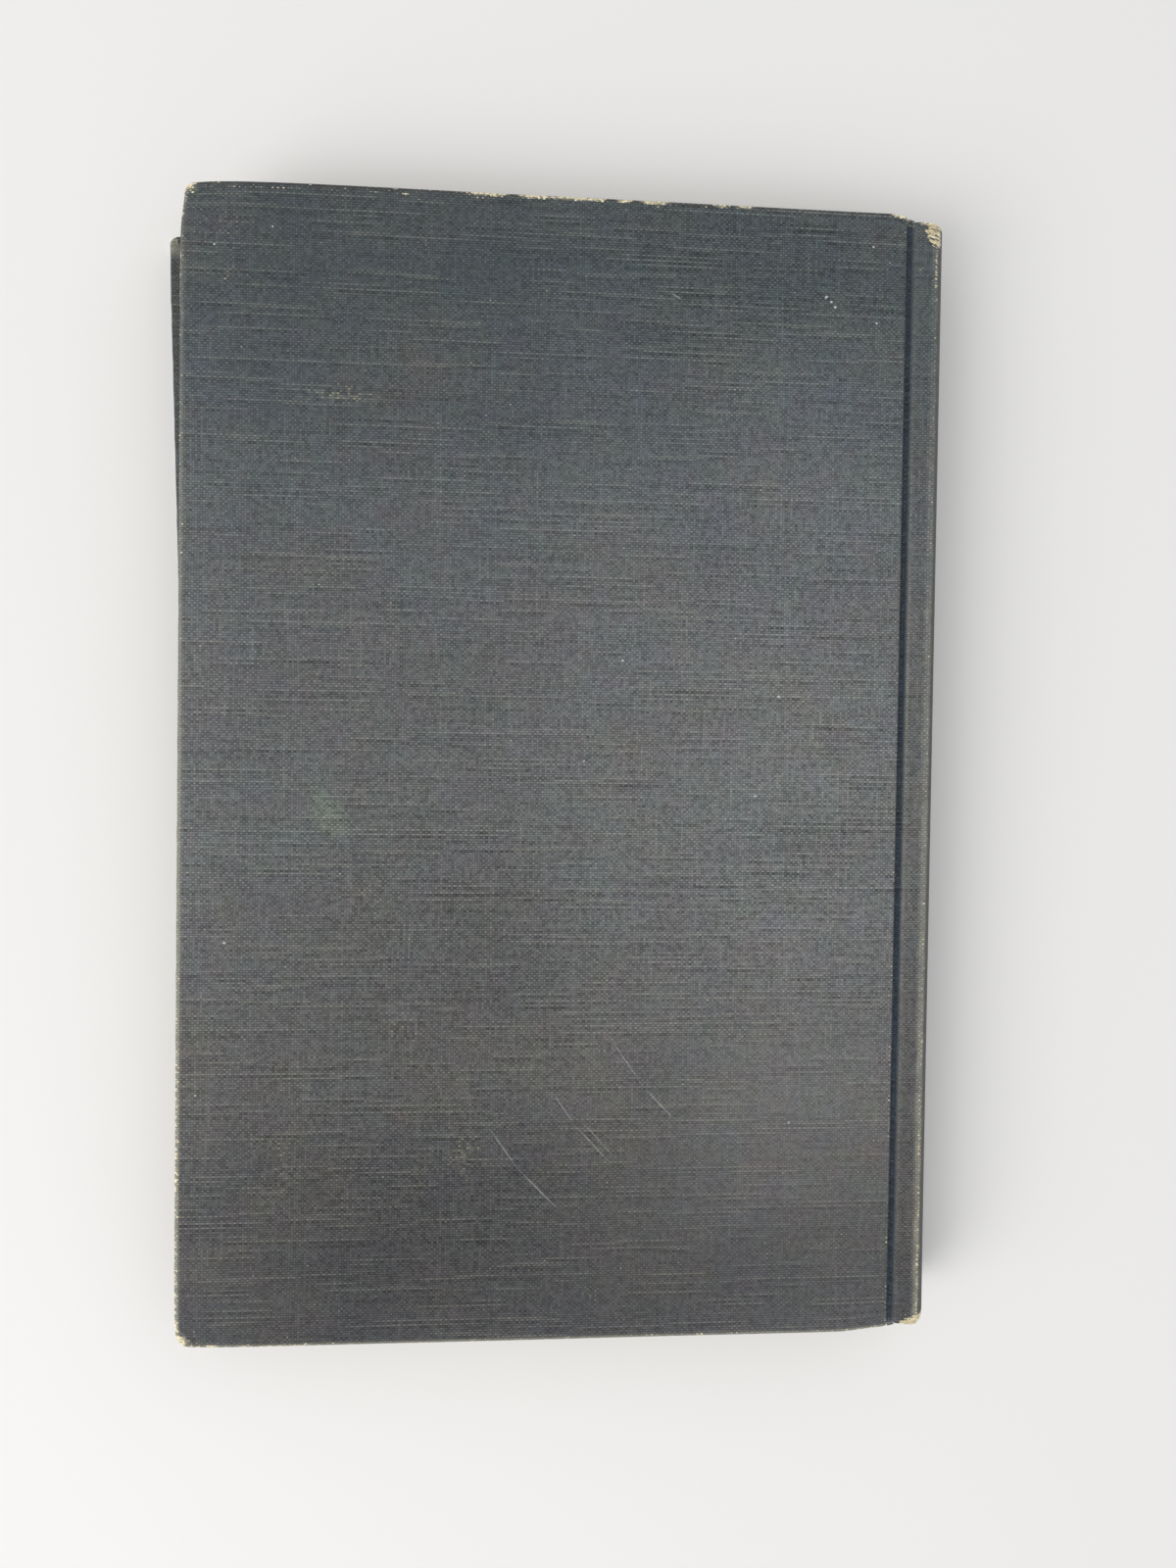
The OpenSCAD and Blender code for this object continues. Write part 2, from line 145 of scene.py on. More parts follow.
@dataclass(frozen=True)
class BookForm:
    """Sizes of the book in millimetres, in a frame of its own.

    X is 0 in the middle of the back cover's groove and grows towards the spine, Y is 0 at
    mid-height and grows towards the head, and Z is 0 on the table.
    """

    board_t: float = 2.2
    cloth_t: float = 0.4
    endpaper_t: float = 0.2
    turn_in: float = 15.0
    square: float = 3.0
    edge_r: float = 0.6
    head_corner_r: float = 1.6
    tail_corner_r: float = 2.6
    groove_w: float = 1.5
    shoulder_w: float = 4.4
    round_back: float = 3.2
    cap_dip: float = 1.6
    groove_rise: float = 0.6
    ridge_dip: float = 0.3
    dip_w: float = 1.2
    tail_bump_d: float = 0.9
    tail_bump_w: float = 9.0
    head_bump_d: float = 0.4
    head_bump_w: float = 3.0
    head_pull: float = 1.15
    tail_pull: float = 0.45
    pages_t: float = 11.0
    fore_hollow: float = 3.0
    lean_deg: float = 1.8
    lean_y: float = -85.0
    glue_t: float = 0.05
    band_d: float = 1.6
    page_d: float = 2.5
    page_shoulder_d: float = 0.75
    corner_reach: float = 6.0
    corner_run: float = 7.0
    bump_reach: float = 8.0
    bump_flat: float = 0.5
    front_pull: float = 0.2
    cover_h: float = field(default_factory=lambda: box_size("back_cloth", 1))
    book_t: float = field(default_factory=lambda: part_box("back_cloth")[1].z / MM)

    @property
    def wall_x(self) -> float:
        """Place of the shoulder's wall."""
        return self.groove_w / 2

    @property
    def fore_x(self) -> float:
        """Place of the covers' fore edge."""
        return self.lip_x - box_size("back_cloth", 0)

    @property
    def lip_x(self) -> float:
        """Place where the cover's half of the cloth ends in the groove."""
        return -0.15

    @property
    def ridge_x(self) -> float:
        """Place of the spine's ridge, where the flat shoulder ends."""
        return self.wall_x + self.shoulder_w

    @property
    def half_t(self) -> float:
        """Half the book's thickness."""
        return self.book_t / 2

    @property
    def back_r(self) -> float:
        """Radius of the round back's outside."""
        return (self.half_t ** 2 + self.round_back ** 2) / (2 * self.round_back)

    @property
    def arc_x(self) -> float:
        """Centre of the round back."""
        return self.ridge_x + self.round_back - self.back_r

    @property
    def cover_t(self) -> float:
        """Thickness of a cover with its cloth and pastedown."""
        return 2 * self.cloth_t + self.board_t + self.endpaper_t

    @property
    def under_z(self) -> float:
        """Level of the back cover's cloth on its inner side."""
        return self.book_t - 2 * self.cloth_t - self.board_t

    @property
    def floor_z(self) -> float:
        """Level of the groove's floor."""
        return self.book_t - self.board_t

    @property
    def page_h(self) -> float:
        """Height of the pages."""
        return self.cover_h - 2 * self.square

    def turned(self, x: Array, y: Array, degrees: Array) -> tuple[Array, Array]:
        """Turns points seen from above about the point where the book is cocked.

        Args:
            x: Places across the book.
            y: Places along it.
            degrees: Turn of each point.

        Returns:
            The turned places.
        """
        a = np.radians(degrees)
        dx, dy = x - self.ridge_x, y - self.lean_y
        return (
            self.ridge_x + dx * np.cos(a) - dy * np.sin(a),
            self.lean_y + dx * np.sin(a) + dy * np.cos(a),
        )

    def lean_at(self, z: Array) -> Array:
        """Turn of the level z: none through the back cover, all of it through the front one."""
        lift_z = self.book_t - self.cover_t
        return self.lean_deg * np.clip((lift_z - z) / (lift_z - self.cover_t), 0, 1)

    def leaned(self, points: Array) -> Array:
        """Cocks points of the straight book."""
        x, y = self.turned(points[:, 0], points[:, 1], self.lean_at(points[:, 2]))
        return np.column_stack([x, y, points[:, 2]])

    def worn(self, points: Array, side: Side) -> Array:
        """Draws in the corners of a cover where they are bumped.

        Args:
            points: Points of the back cover, or of the front one before it is turned over.
            side: The cover.

        Returns:
            The points, moved inwards near the ends beside the spine and at the fore corners.
        """
        x, y, z = points.T
        head = y > 0
        from_fore, from_end = np.maximum(x - self.fore_x, 0), self.cover_h / 2 - np.abs(y)
        near_end = smooth(1 - (from_end - self.bump_flat) / (self.bump_reach - self.bump_flat))
        beside_spine = np.where(
            head,
            self.head_bump_d * np.maximum((x + self.wall_x) / self.head_bump_w + 1, 0),
            self.tail_bump_d * np.maximum((x + self.wall_x) / self.tail_bump_w + 1, 0),
        )
        pull = np.where(head, self.head_pull, self.tail_pull)
        pull = pull * (1.0 if side is Side.BACK else self.front_pull)
        from_end = (from_end / self.corner_reach) ** 2
        inward = near_end * beside_spine + pull * np.exp(-from_fore / self.corner_run - from_end)
        sideways = 0.75 * pull * np.exp(-((from_fore / self.corner_reach) ** 2) - from_end)
        return np.column_stack([x + sideways, y - np.sign(y) * inward, z])

    def to_side(self, points: Array, side: Side) -> Array:
        """Takes points given for the back cover to the same place on a side."""
        if side is Side.BACK:
            return points
        x, y = self.turned(points[:, 0], points[:, 1], np.full(len(points), self.lean_deg))
        return np.column_stack([x, y, self.book_t - points[:, 2]])

    def placed(self, points: Array) -> Array:
        """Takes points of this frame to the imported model's, in metres."""
        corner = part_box("back_cloth")[1]
        shift = np.array([corner.x / MM - self.lip_x, corner.y / MM - self.cover_h / 2, 0])
        return (points + shift) * MM

    def spot(self, x: float, y: float, z: float, side: Side = Side.BACK) -> Vector:
        """One point of this frame, given for the back cover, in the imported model's frame."""
        return Vector(self.placed(self.to_side(np.array([[x, y, z]], float), side))[0])


def deselect() -> None:
    """Leaves nothing selected, in object mode."""
    if bpy.context.object is not None and bpy.context.object.mode != "OBJECT":
        bpy.ops.object.mode_set(mode="OBJECT")
    bpy.ops.object.select_all(action="DESELECT")


def make_active(piece: bpy.types.Object) -> None:
    """Selects one object alone and makes it the active one."""
    deselect()
    piece.select_set(True)
    bpy.context.view_layer.objects.active = piece


def coordinates(piece: bpy.types.Object) -> Array:
    """The piece's vertices as rows of x, y, z."""
    found = np.empty(len(piece.data.vertices) * 3)
    piece.data.vertices.foreach_get("co", found)
    return found.reshape(-1, 3)


def set_coordinates(piece: bpy.types.Object, points: Array) -> None:
    """Moves the piece's vertices."""
    piece.data.vertices.foreach_set("co", np.asarray(points, float).ravel())
    piece.data.update()


def set_attribute(piece: bpy.types.Object, name: str, values: Array) -> None:
    """Stores one number for each vertex, for the materials to read."""
    layer = piece.data.attributes.new(name, "FLOAT", "POINT")
    layer.data.foreach_set("value", np.asarray(values, np.float32))


def flat_sheet(name: str, us: Sequence[float], vs: Sequence[float]) -> bpy.types.Object:
    """Lays out a flat sheet as a grid with the given lines, with its UV map in metres.

    Args:
        name: The piece's name.
        us: Places of the grid's lines along X, in millimetres.
        vs: Places of the grid's lines along Y, in millimetres.

    Returns:
        The sheet, with its vertices in millimetres.
    """
    deselect()
    bpy.ops.mesh.primitive_grid_add(x_subdivisions=len(us) - 1, y_subdivisions=len(vs) - 1, size=1)
    piece = bpy.context.object
    piece.name = name
    points = coordinates(piece)
    columns = np.rint((points[:, 0] + 0.5) * (len(us) - 1)).astype(int)
    rows = np.rint((points[:, 1] + 0.5) * (len(vs) - 1)).astype(int)
    points[:, 0] = np.asarray(us)[columns]
    points[:, 1] = np.asarray(vs)[rows]
    set_coordinates(piece, points)
    corners = np.empty(len(piece.data.loops), np.int32)
    piece.data.loops.foreach_get("vertex_index", corners)
    places = (points[corners, :2] * MM).astype(np.float32)
    piece.data.uv_layers[0].name = "sheet"
    piece.data.uv_layers[0].data.foreach_set("uv", places.ravel())
    return piece


def lengths_along(section: Array) -> Array:
    """Distance of each point of a section from its start, along the section."""
    return np.concatenate([[0], np.cumsum(np.hypot(*np.diff(section, axis=0).T))])


def columns_of(flat: Array, us: Array) -> Array:
    """Number of the grid line along X that each point of a flat sheet lies on."""
    return np.searchsorted(us, flat[:, 0] - 1e-4)


def drop_faces(piece: bpy.types.Object, unwanted: Callable[[Array], Array]) -> None:
    """Deletes the faces whose centres the test picks out.

    Args:
        piece: The piece.
        unwanted: Takes the faces' centres as rows and returns True where a face goes.
    """
    centres = np.empty(len(piece.data.polygons) * 3)
    piece.data.polygons.foreach_get("center", centres)
    picked = unwanted(centres.reshape(-1, 3))
    make_active(piece)
    bpy.ops.object.mode_set(mode="EDIT")
    bpy.ops.mesh.select_mode(type="FACE")
    bpy.ops.mesh.select_all(action="DESELECT")
    bpy.ops.object.mode_set(mode="OBJECT")
    piece.data.polygons.foreach_set("select", picked)
    bpy.ops.object.mode_set(mode="EDIT")
    bpy.ops.mesh.delete(type="FACE")
    bpy.ops.object.mode_set(mode="OBJECT")


def flip(piece: bpy.types.Object) -> None:
    """Turns all the faces of a piece round."""
    make_active(piece)
    bpy.ops.object.mode_set(mode="EDIT")
    bpy.ops.mesh.select_all(action="SELECT")
    bpy.ops.mesh.flip_normals()
    bpy.ops.object.mode_set(mode="OBJECT")


def weld(piece: bpy.types.Object, distance: float) -> None:
    """Merges vertices that lie closer than distance."""
    make_active(piece)
    bpy.ops.object.mode_set(mode="EDIT")
    bpy.ops.mesh.select_all(action="SELECT")
    bpy.ops.mesh.remove_doubles(threshold=distance)
    bpy.ops.object.mode_set(mode="OBJECT")


def thicken(piece: bpy.types.Object, thickness: float, side: Side = Side.BACK) -> None:
    """Gives a sheet its thickness, on the side away from its normals.

    Args:
        piece: The sheet.
        thickness: Its thickness, in millimetres.
        side: The cover it lies in. A sheet of the front one is mirrored, so it is turned round first.
    """
    if side is Side.FRONT:
        flip(piece)
    make_active(piece)
    wall = piece.modifiers.new("thickness", "SOLIDIFY")
    wall.thickness = thickness * MM
    wall.offset = -1
    wall.use_even_offset = False
    bpy.ops.object.modifier_apply(modifier=wall.name)


def finish(piece: bpy.types.Object, material: bpy.types.Material, degrees: float) -> None:
    """Shades a piece smooth, dresses it and reports it.

    Args:
        piece: The piece.
        material: Its material.
        degrees: Edges sharper than this stay sharp.
    """
    make_active(piece)
    bpy.ops.object.shade_smooth_by_angle(angle=math.radians(degrees))
    piece.data.materials.clear()
    piece.data.materials.append(material)
    log.info("%s: %d faces", piece.name, len(piece.data.polygons))


def join(pieces: Sequence[bpy.types.Object], name: str) -> bpy.types.Object:
    """Joins pieces into one.

    Args:
        pieces: The pieces.
        name: The joined piece's name.

    Returns:
        The joined piece.
    """
    deselect()
    for piece in pieces:
        piece.select_set(True)
    bpy.context.view_layer.objects.active = pieces[0]
    if len(pieces) > 1:
        bpy.ops.object.join()
    pieces[0].name = name
    return pieces[0]


def stations(*stretches: tuple[float, float, int]) -> list[float]:
    """Places along a line, as stretches that follow on from each other.

    Args:
        *stretches: Start, end and number of steps of each stretch.

    Returns:
        The places, with none twice.
    """
    found = [stretches[0][0]]
    for start, end, steps in stretches:
        found += [start + (end - start) * i / steps for i in range(1, steps + 1)]
    return found


@dataclass(frozen=True)
class Nodes:
    """The node tree of one finish, with the steps that the finishes share."""

    tree: bpy.types.NodeTree

    def add(self, kind: str, inputs: dict[Any, Any] | None = None, **settings: Any) -> bpy.types.Node:
        """Adds one node."""
        return add_node(self.tree, kind, inputs, **settings)

    def number(self, operation: str, *values: Any, clamp: bool = False) -> bpy.types.Node:
        """One step of arithmetic."""
        return self.add("ShaderNodeMath", dict(enumerate(values)), operation=operation, use_clamp=clamp)

    def times(self, a: Any, b: Any) -> bpy.types.Node:
        """Product of two numbers."""
        return self.number("MULTIPLY", a, b)

    def plus(self, base: Any, part: Any, share: Any, clamp: bool = False) -> bpy.types.Node:
        """Adds a share of a part to a base."""
        return self.number("MULTIPLY_ADD", part, share, base, clamp=clamp)

    def centred(self, node: Any) -> bpy.types.Node:
        """A noise's value, about zero."""
        return self.number("SUBTRACT", node, 0.5)

    def between(
        self, node: Any, low: float, high: float, start: float = 0.0, end: float = 1.0
    ) -> bpy.types.Node:
        """Goes from start to end as the value goes from low to high."""
        return self.add("ShaderNodeMapRange", {0: node, 1: low, 2: high, 3: start, 4: end})

    def noise(self, place: Any, scale: float, detail: float = 2.0, roughness: float = 0.55) -> bpy.types.Node:
        """Noise with so many features to the metre."""
        return self.add("ShaderNodeTexNoise", {
            "Vector": place, "Scale": scale, "Detail": detail, "Roughness": roughness,
        })

    def split(self, node: Any) -> bpy.types.Node:
        """The three parts of a place or a colour."""
        return self.add("ShaderNodeSeparateXYZ", {0: node})

    def attribute(self, name: str) -> bpy.types.NodeSocket:
        """A number stored on the mesh's vertices."""
        return self.add("ShaderNodeAttribute", attribute_name=name).outputs["Fac"]

    def blended(self, share: Any, under: Any, over: Any) -> bpy.types.NodeSocket:
        """Lays one colour over another."""
        return self.add("ShaderNodeMix", {0: share, 6: under, 7: over}, data_type="RGBA").outputs[2]

    def scaled(self, colour: Any, light: Any) -> bpy.types.NodeSocket:
        """Makes a colour lighter or darker."""
        return self.add("ShaderNodeVectorMath", {0: colour, "Scale": light}, operation="SCALE").outputs[0]

    def product(self, colour: Any, filtering: Any) -> bpy.types.NodeSocket:
        """Multiplies two colours."""
        return self.add("ShaderNodeVectorMath", {0: colour, 1: filtering}, operation="MULTIPLY").outputs[0]

    def ramp(self, place: Any, stops: Sequence[tuple[float, str]]) -> bpy.types.Node:
        """A row of colours that run into each other.

        Args:
            place: Place on the row, from 0 to 1.
            stops: Places and hex colours.

        Returns:
            The node.
        """
        node = self.add("ShaderNodeValToRGB", {0: place})
        node.color_ramp.interpolation = "EASE"
        for i, (position, colour) in enumerate(stops):
            stop = node.color_ramp.elements[i] if i < 2 else node.color_ramp.elements.new(position)
            stop.position = position
            stop.color = linear(colour)
        return node

    def output(self, shader: Any) -> None:
        """Ends the tree with its shader."""
        self.add("ShaderNodeOutputMaterial", {0: shader})


def new_material(name: str) -> tuple[bpy.types.Material, Nodes]:
    """Starts a material with no nodes.

    Args:
        name: The material's name.

    Returns:
        The material, and its node tree.
    """
    material = bpy.data.materials.new(name)
    material.use_nodes = True
    material.node_tree.nodes.clear()
    return material, Nodes(material.node_tree)


@dataclass(frozen=True)
class Mark:
    """One mark on the cloth: an ellipse, in millimetres from the groove and mid-height."""

    x: float
    y: float
    long: float
    wide: float
    angle_deg: float = 0.0
    soft: float = 0.5
    strength: float = 1.0


@dataclass(frozen=True)
class ClothMarks:
    """The marks that one cover has collected, and the broad patches of painted shade on it."""

    scratches: tuple[Mark, ...] = ()
    flecks: tuple[Mark, ...] = ()
    thin_patches: tuple[Mark, ...] = ()
    green_stains: tuple[Mark, ...] = ()
    pale_smudges: tuple[Mark, ...] = ()
    # Broad patches of painted shade, where the light falls off.
    painted_shade_patches: tuple[Mark, ...] = ()
    smoothed: tuple[Mark, ...] = ()


@dataclass(frozen=True)
class ThreadLight:
    """How much each part of the weave and of its wear adds to the lightness of the cloth."""

    base: float = 0.52
    height: float = 1.36
    crossing: float = 0.60
    weft_short: float = 0.36
    warp_run: float = 0.26
    pale_thread: float = 0.32
    pale_shadow: float = -0.20
    dark_thread: float = -0.19
    pale_warp: float = 0.26
    grain: float = 0.16
    cloud: float = 0.16
    pale_smudge: float = 0.16
    # Painted shade: how far the broad shade patches darken the cloth.
    painted_shade_patch: float = -0.14
    smoothing: float = -0.26
    smoothed_to: float = 1.08


@dataclass(frozen=True)
class Weave:
    """Parts of the woven pattern, which the layers of the cloth's finish share."""

    uv: Any
    across: Any
    along: Any
    height: Any
    weft_top: Any
    crossing: Any
    weft_short: Any
    warp_run: Any
    pale_thread: Any
    pale_shadow: Any
    dark_thread: Any
    pale_warp: Any
    calm: Any
    fade: Any
    cloud: Any


@dataclass(frozen=True)
class LinenBookCloth:
    """Starch-filled linen-weave book cloth of cotton, dyed navy: matt, faded grey and rubbed.

    The tops of the threads catch the light, thicker threads show as pale or dark lines, and
    where the dye has worn off, the tan of the raw threads shows through. The real threads are
    0.41 and 0.36 mm apart, and the weave is drawn a quarter coarser, so that it shows. Lengths
    are in millimetres, and the scales of noises count features to the metre.
    """

    marks: ClothMarks = ClothMarks()
    light: ThreadLight = ThreadLight()
    warp_pitch: float = 0.51
    weft_pitch: float = 0.45
    cover_w: float = 141.2
    cover_h: float = 223.2
    pale_weft_run: float = 24.0
    dark_weft_run: float = 30.0
    weft_slub: float = 2.0
    pale_warp_run: float = 15.0
    pale_weft_from: tuple[float, float] = (0.585, 0.65)
    dark_weft_from: tuple[float, float] = (0.59, 0.66)
    pale_warp_from: tuple[float, float] = (0.62, 0.74)
    thread_step: float = 7.31
    cloud_scale: float = 16.0
    tint_scale: float = 44.0
    grain_scale: float = 700.0
    uneven_scale: float = 190.0
    lint_scale: float = 95.0
    # Painted light with the fade: darker towards the head and the tail as the light falls off there, lightest
    # a little below mid-height.
    fade_and_light_tones: tuple[tuple[float, str], ...] = (
        (0.00, "4F5052"), (0.05, "515152"), (0.13, "5B5B5B"), (0.22, "646463"), (0.45, "6D6F6F"),
        (0.62, "6A6C6D"), (0.72, "64686A"), (0.82, "575D60"), (0.93, "4D5558"), (1.00, "4C5356"),
    )
    # Painted light: the cloth drawn darkest an eighth to two fifths of the way from the fore edge and
    # lightest near the spine.
    painted_light_across: tuple[tuple[float, str], ...] = (
        (0.00, "ECECEC"), (0.12, "DFDFDF"), (0.40, "E1E1E1"),
        (0.62, "F0F0F0"), (0.86, "FFFFFF"), (1.00, "FAFAFA"),
    )
    unfaded: str = "525D67"
    # Dark tone for soil and for painted shade: along the covers' head and tail edges, on the turn-ins and on
    # the spine's round back.
    soil_and_shade_tone: str = "3F3E3B"
    rubbed: str = "A3A190"
    warm: str = "6F665C"
    raw_thread: str = "FFF1CA"
    raw_dark: str = "82714A"
    thin: str = "B0A985"
    fleck: str = "C9CCCB"
    green: str = "848F7D"
    uneven_dye: tuple[float, float, float] = (0.20, 0.24, 0.20)
    roughness: float = 0.82

    def marked(self, nodes: Nodes, uv: Any, marks: Sequence[Mark]) -> Any:
        """Is 1 inside the marks and 0 outside.

        Args:
            nodes: The finish's nodes.
            uv: Place on the flat sheet.
            marks: The marks.

        Returns:
            The highest strength of any mark at that place.
        """
        total: Any = 0.0
        for mark in marks:
            local = nodes.add("ShaderNodeMapping", {
                "Vector": uv, "Location": (mark.x * MM, mark.y * MM, 0.0),
                "Rotation": (0.0, 0.0, math.radians(mark.angle_deg)),
                "Scale": (mark.long / 2 * MM, mark.wide / 2 * MM, 1.0),
            }, vector_type="TEXTURE")
            reach = nodes.add("ShaderNodeVectorMath", {0: local}, operation="LENGTH").outputs["Value"]
            inside = nodes.between(reach, 1.0, 1.0 - mark.soft, 0.0, mark.strength)
            total = nodes.number("MAXIMUM", total, inside)
        return total

    def along_thread(self, nodes: Nodes, row: Any, free: Any, length: float, seed: float) -> bpy.types.Node:
        """Noise that runs along each thread and differs from thread to thread.

        Args:
            nodes: The finish's nodes.
            row: Number of the thread.
            free: Place along the thread.
            length: Length over which the noise changes.
            seed: Sets one such noise apart from another.

        Returns:
            The noise.
        """
        place = nodes.add("ShaderNodeCombineXYZ", {
            0: nodes.number("DIVIDE", free, length * MM),
            1: nodes.times(nodes.number("FLOOR", row), self.thread_step),
            2: seed,
        })
        return nodes.noise(place, 1.0, 1.0)

    def woven(self, nodes: Nodes) -> Weave:
        """Lays out the threads, which wander a little, and the tones that run along them.

        Args:
            nodes: The finish's nodes.

        Returns:
            The threads' heights, the tones along them and the attributes that go with them.
        """
        uv = nodes.add("ShaderNodeUVMap", uv_map="sheet")
        parts = nodes.split(uv)
        across, along = parts.outputs[0], parts.outputs[1]
        wander = nodes.split(nodes.noise(uv, 60.0, 1.0, 0.5).outputs["Color"])
        warp = nodes.plus(nodes.times(wander.outputs[0], 1.6), across, 1 / (self.warp_pitch * MM))
        weft = nodes.plus(nodes.times(wander.outputs[1], 0.5), along, 1 / (self.weft_pitch * MM))
        warp_wave = nodes.number("SINE", nodes.times(warp, math.pi))
        weft_wave = nodes.number("SINE", nodes.times(weft, math.pi))
        crossed = nodes.times(warp_wave, weft_wave)
        weft_top = nodes.times(nodes.number("ABSOLUTE", weft_wave), nodes.plus(0.55, crossed, 0.45))
        warp_top = nodes.times(nodes.number("ABSOLUTE", warp_wave), nodes.plus(0.32, crossed, -0.24))
        height = nodes.number("MAXIMUM", weft_top, warp_top)
        cell = nodes.add("ShaderNodeCombineXYZ", {
            0: nodes.number("FLOOR", warp), 1: nodes.number("FLOOR", weft),
        })
        pale_run = self.along_thread(nodes, weft, across, self.pale_weft_run, 1.7)
        next_row = nodes.number("ADD", weft, 1.0)
        next_run = self.along_thread(nodes, next_row, across, self.pale_weft_run, 1.7)
        dark_run = self.along_thread(nodes, weft, across, self.dark_weft_run, 13.9)
        warp_run = self.along_thread(nodes, warp, along, self.pale_warp_run, 9.4)
        pale_thread = nodes.between(pale_run, *self.pale_weft_from)
        return Weave(
            uv=uv, across=across, along=along, height=height, weft_top=weft_top,
            crossing=nodes.add("ShaderNodeTexWhiteNoise", {0: cell}, noise_dimensions="2D").outputs[0],
            weft_short=self.along_thread(nodes, weft, across, self.weft_slub, 5.1),
            warp_run=warp_run,
            pale_thread=nodes.times(pale_thread, nodes.plus(0.15, weft_top, 1.2)),
            pale_shadow=nodes.between(next_run, *self.pale_weft_from),
            dark_thread=nodes.between(dark_run, *self.dark_weft_from),
            pale_warp=nodes.times(nodes.between(warp_run, *self.pale_warp_from), height),
            calm=nodes.plus(1.0, nodes.attribute("calm"), -0.65),
            fade=nodes.attribute("fade"),
            cloud=nodes.noise(uv, self.cloud_scale),
        )

    def dyed(self, nodes: Nodes, weave: Weave) -> Any:
        """Colour of the dye: faded by height together with a painted fall of light, darker in the grooves,
        darkened by painted shade and soil, stained green.

        Args:
            nodes: The finish's nodes.
            weave: The woven pattern.

        Returns:
            The colour.
        """
        height_share = nodes.plus(0.5, weave.along, 1 / (self.cover_h * MM), clamp=True)
        height_share = nodes.plus(height_share, nodes.centred(weave.cloud), 0.10)
        tone = nodes.ramp(height_share, self.fade_and_light_tones)
        tint = nodes.between(nodes.noise(weave.uv, self.tint_scale, 3.0), 0.42, 0.75)
        colour = nodes.blended(nodes.times(tint, 0.30), tone, linear(self.warm))
        colour = nodes.blended(weave.fade, linear(self.unfaded), colour)
        # Painted shade and soil, from the vertex attribute: the cover's edges, the turn-ins, the round back
        # and the darker shoulder.
        colour = nodes.blended(nodes.attribute("soil_and_shade"), colour, linear(self.soil_and_shade_tone))
        stained = nodes.times(self.marked(nodes, weave.uv, self.marks.green_stains), 0.60)
        return nodes.blended(stained, colour, linear(self.green))

    def lit(self, nodes: Nodes, weave: Weave) -> Any:
        """How light the cloth is from thread to thread and from place to place, with broad patches of painted
        shade.

        Args:
            nodes: The finish's nodes.
            weave: The woven pattern.

        Returns:
            The lightness, about 1.
        """
        part = self.light
        light = nodes.plus(part.base, weave.height, part.height)
        for node, share in (
            (nodes.centred(weave.crossing), part.crossing),
            (nodes.centred(weave.weft_short), part.weft_short),
            (nodes.centred(weave.warp_run), part.warp_run),
            (nodes.times(weave.pale_thread, weave.calm), part.pale_thread),
            (nodes.times(weave.pale_shadow, weave.calm), part.pale_shadow),
            (weave.dark_thread, part.dark_thread),
            (weave.pale_warp, part.pale_warp),
            (nodes.centred(nodes.noise(weave.uv, self.grain_scale)), part.grain),
        ):
            light = nodes.plus(light, node, share)
        if self.marks.smoothed:
            evenness = nodes.plus(1.0, self.marked(nodes, weave.uv, self.marks.smoothed), part.smoothing)
            light = nodes.plus(part.smoothed_to, nodes.number("SUBTRACT", light, part.smoothed_to), evenness)
        light = nodes.plus(light, nodes.centred(weave.cloud), part.cloud)
        light = nodes.plus(light, self.marked(nodes, weave.uv, self.marks.pale_smudges), part.pale_smudge)
        return nodes.plus(light, self.marked(nodes, weave.uv, self.marks.painted_shade_patches), part.painted_shade_patch)

    def toned(self, nodes: Nodes, weave: Weave, colour: Any) -> Any:
        """Puts the light on the dye, with a painted drift of light across the cover and the dye's small
        blotches.

        Args:
            nodes: The finish's nodes.
            weave: The woven pattern.
            colour: The colour underneath.

        Returns:
            The lit colour.
        """
        toned = nodes.scaled(colour, self.lit(nodes, weave))
        # Painted drift of light across the cover.
        width_share = nodes.plus(1.0, weave.across, 1 / (self.cover_w * MM), clamp=True)
        toned = nodes.product(toned, nodes.ramp(width_share, self.painted_light_across))
        blotch = nodes.noise(weave.uv, self.uneven_scale, 3.0, 0.5).outputs["Color"]
        blotch = nodes.add("ShaderNodeVectorMath", {
            0: blotch, 1: self.uneven_dye, 2: [1 - d / 2 for d in self.uneven_dye],
        }, operation="MULTIPLY_ADD")
        return nodes.product(toned, blotch)

    def scuffed(self, nodes: Nodes, weave: Weave, colour: Any) -> Any:
        """Adds pale threads, scratches, flecks and lint, and the patches where the filling is thin.

        Args:
            nodes: The finish's nodes.
            weave: The woven pattern.
            colour: The colour underneath.

        Returns:
            The colour with these on it.
        """
        broken = nodes.plus(-0.15, nodes.noise(weave.uv, 900.0), 1.3, clamp=True)
        scratch = nodes.times(self.marked(nodes, weave.uv, self.marks.scratches), broken)
        lint = nodes.add("ShaderNodeTexVoronoi", {"Vector": weave.uv, "Scale": self.lint_scale})
        chance = nodes.split(lint.outputs["Color"]).outputs[0]
        speck = nodes.between(lint.outputs["Distance"], 0.026, 0.012)
        speck = nodes.times(nodes.number("GREATER_THAN", chance, 0.90), speck)
        flecked = self.marked(nodes, weave.uv, self.marks.flecks)
        pale = nodes.number("MAXIMUM", nodes.times(scratch, 0.64), flecked)
        pale = nodes.number("MAXIMUM", pale, nodes.times(speck, 0.7))
        pale_thread = nodes.times(nodes.times(weave.pale_thread, weave.calm), 0.14)
        colour = nodes.blended(pale_thread, colour, linear(self.rubbed))
        colour = nodes.blended(pale, colour, linear(self.fleck))
        thin = nodes.times(self.marked(nodes, weave.uv, self.marks.thin_patches), 0.34)
        thin = nodes.plus(nodes.plus(thin, weave.crossing, 0.50), nodes.noise(weave.uv, 110.0), 0.55)
        thin = nodes.times(nodes.between(thin, 0.82, 0.98), nodes.times(weave.fade, 0.62))
        return nodes.blended(nodes.times(thin, weave.weft_top), colour, linear(self.thin))

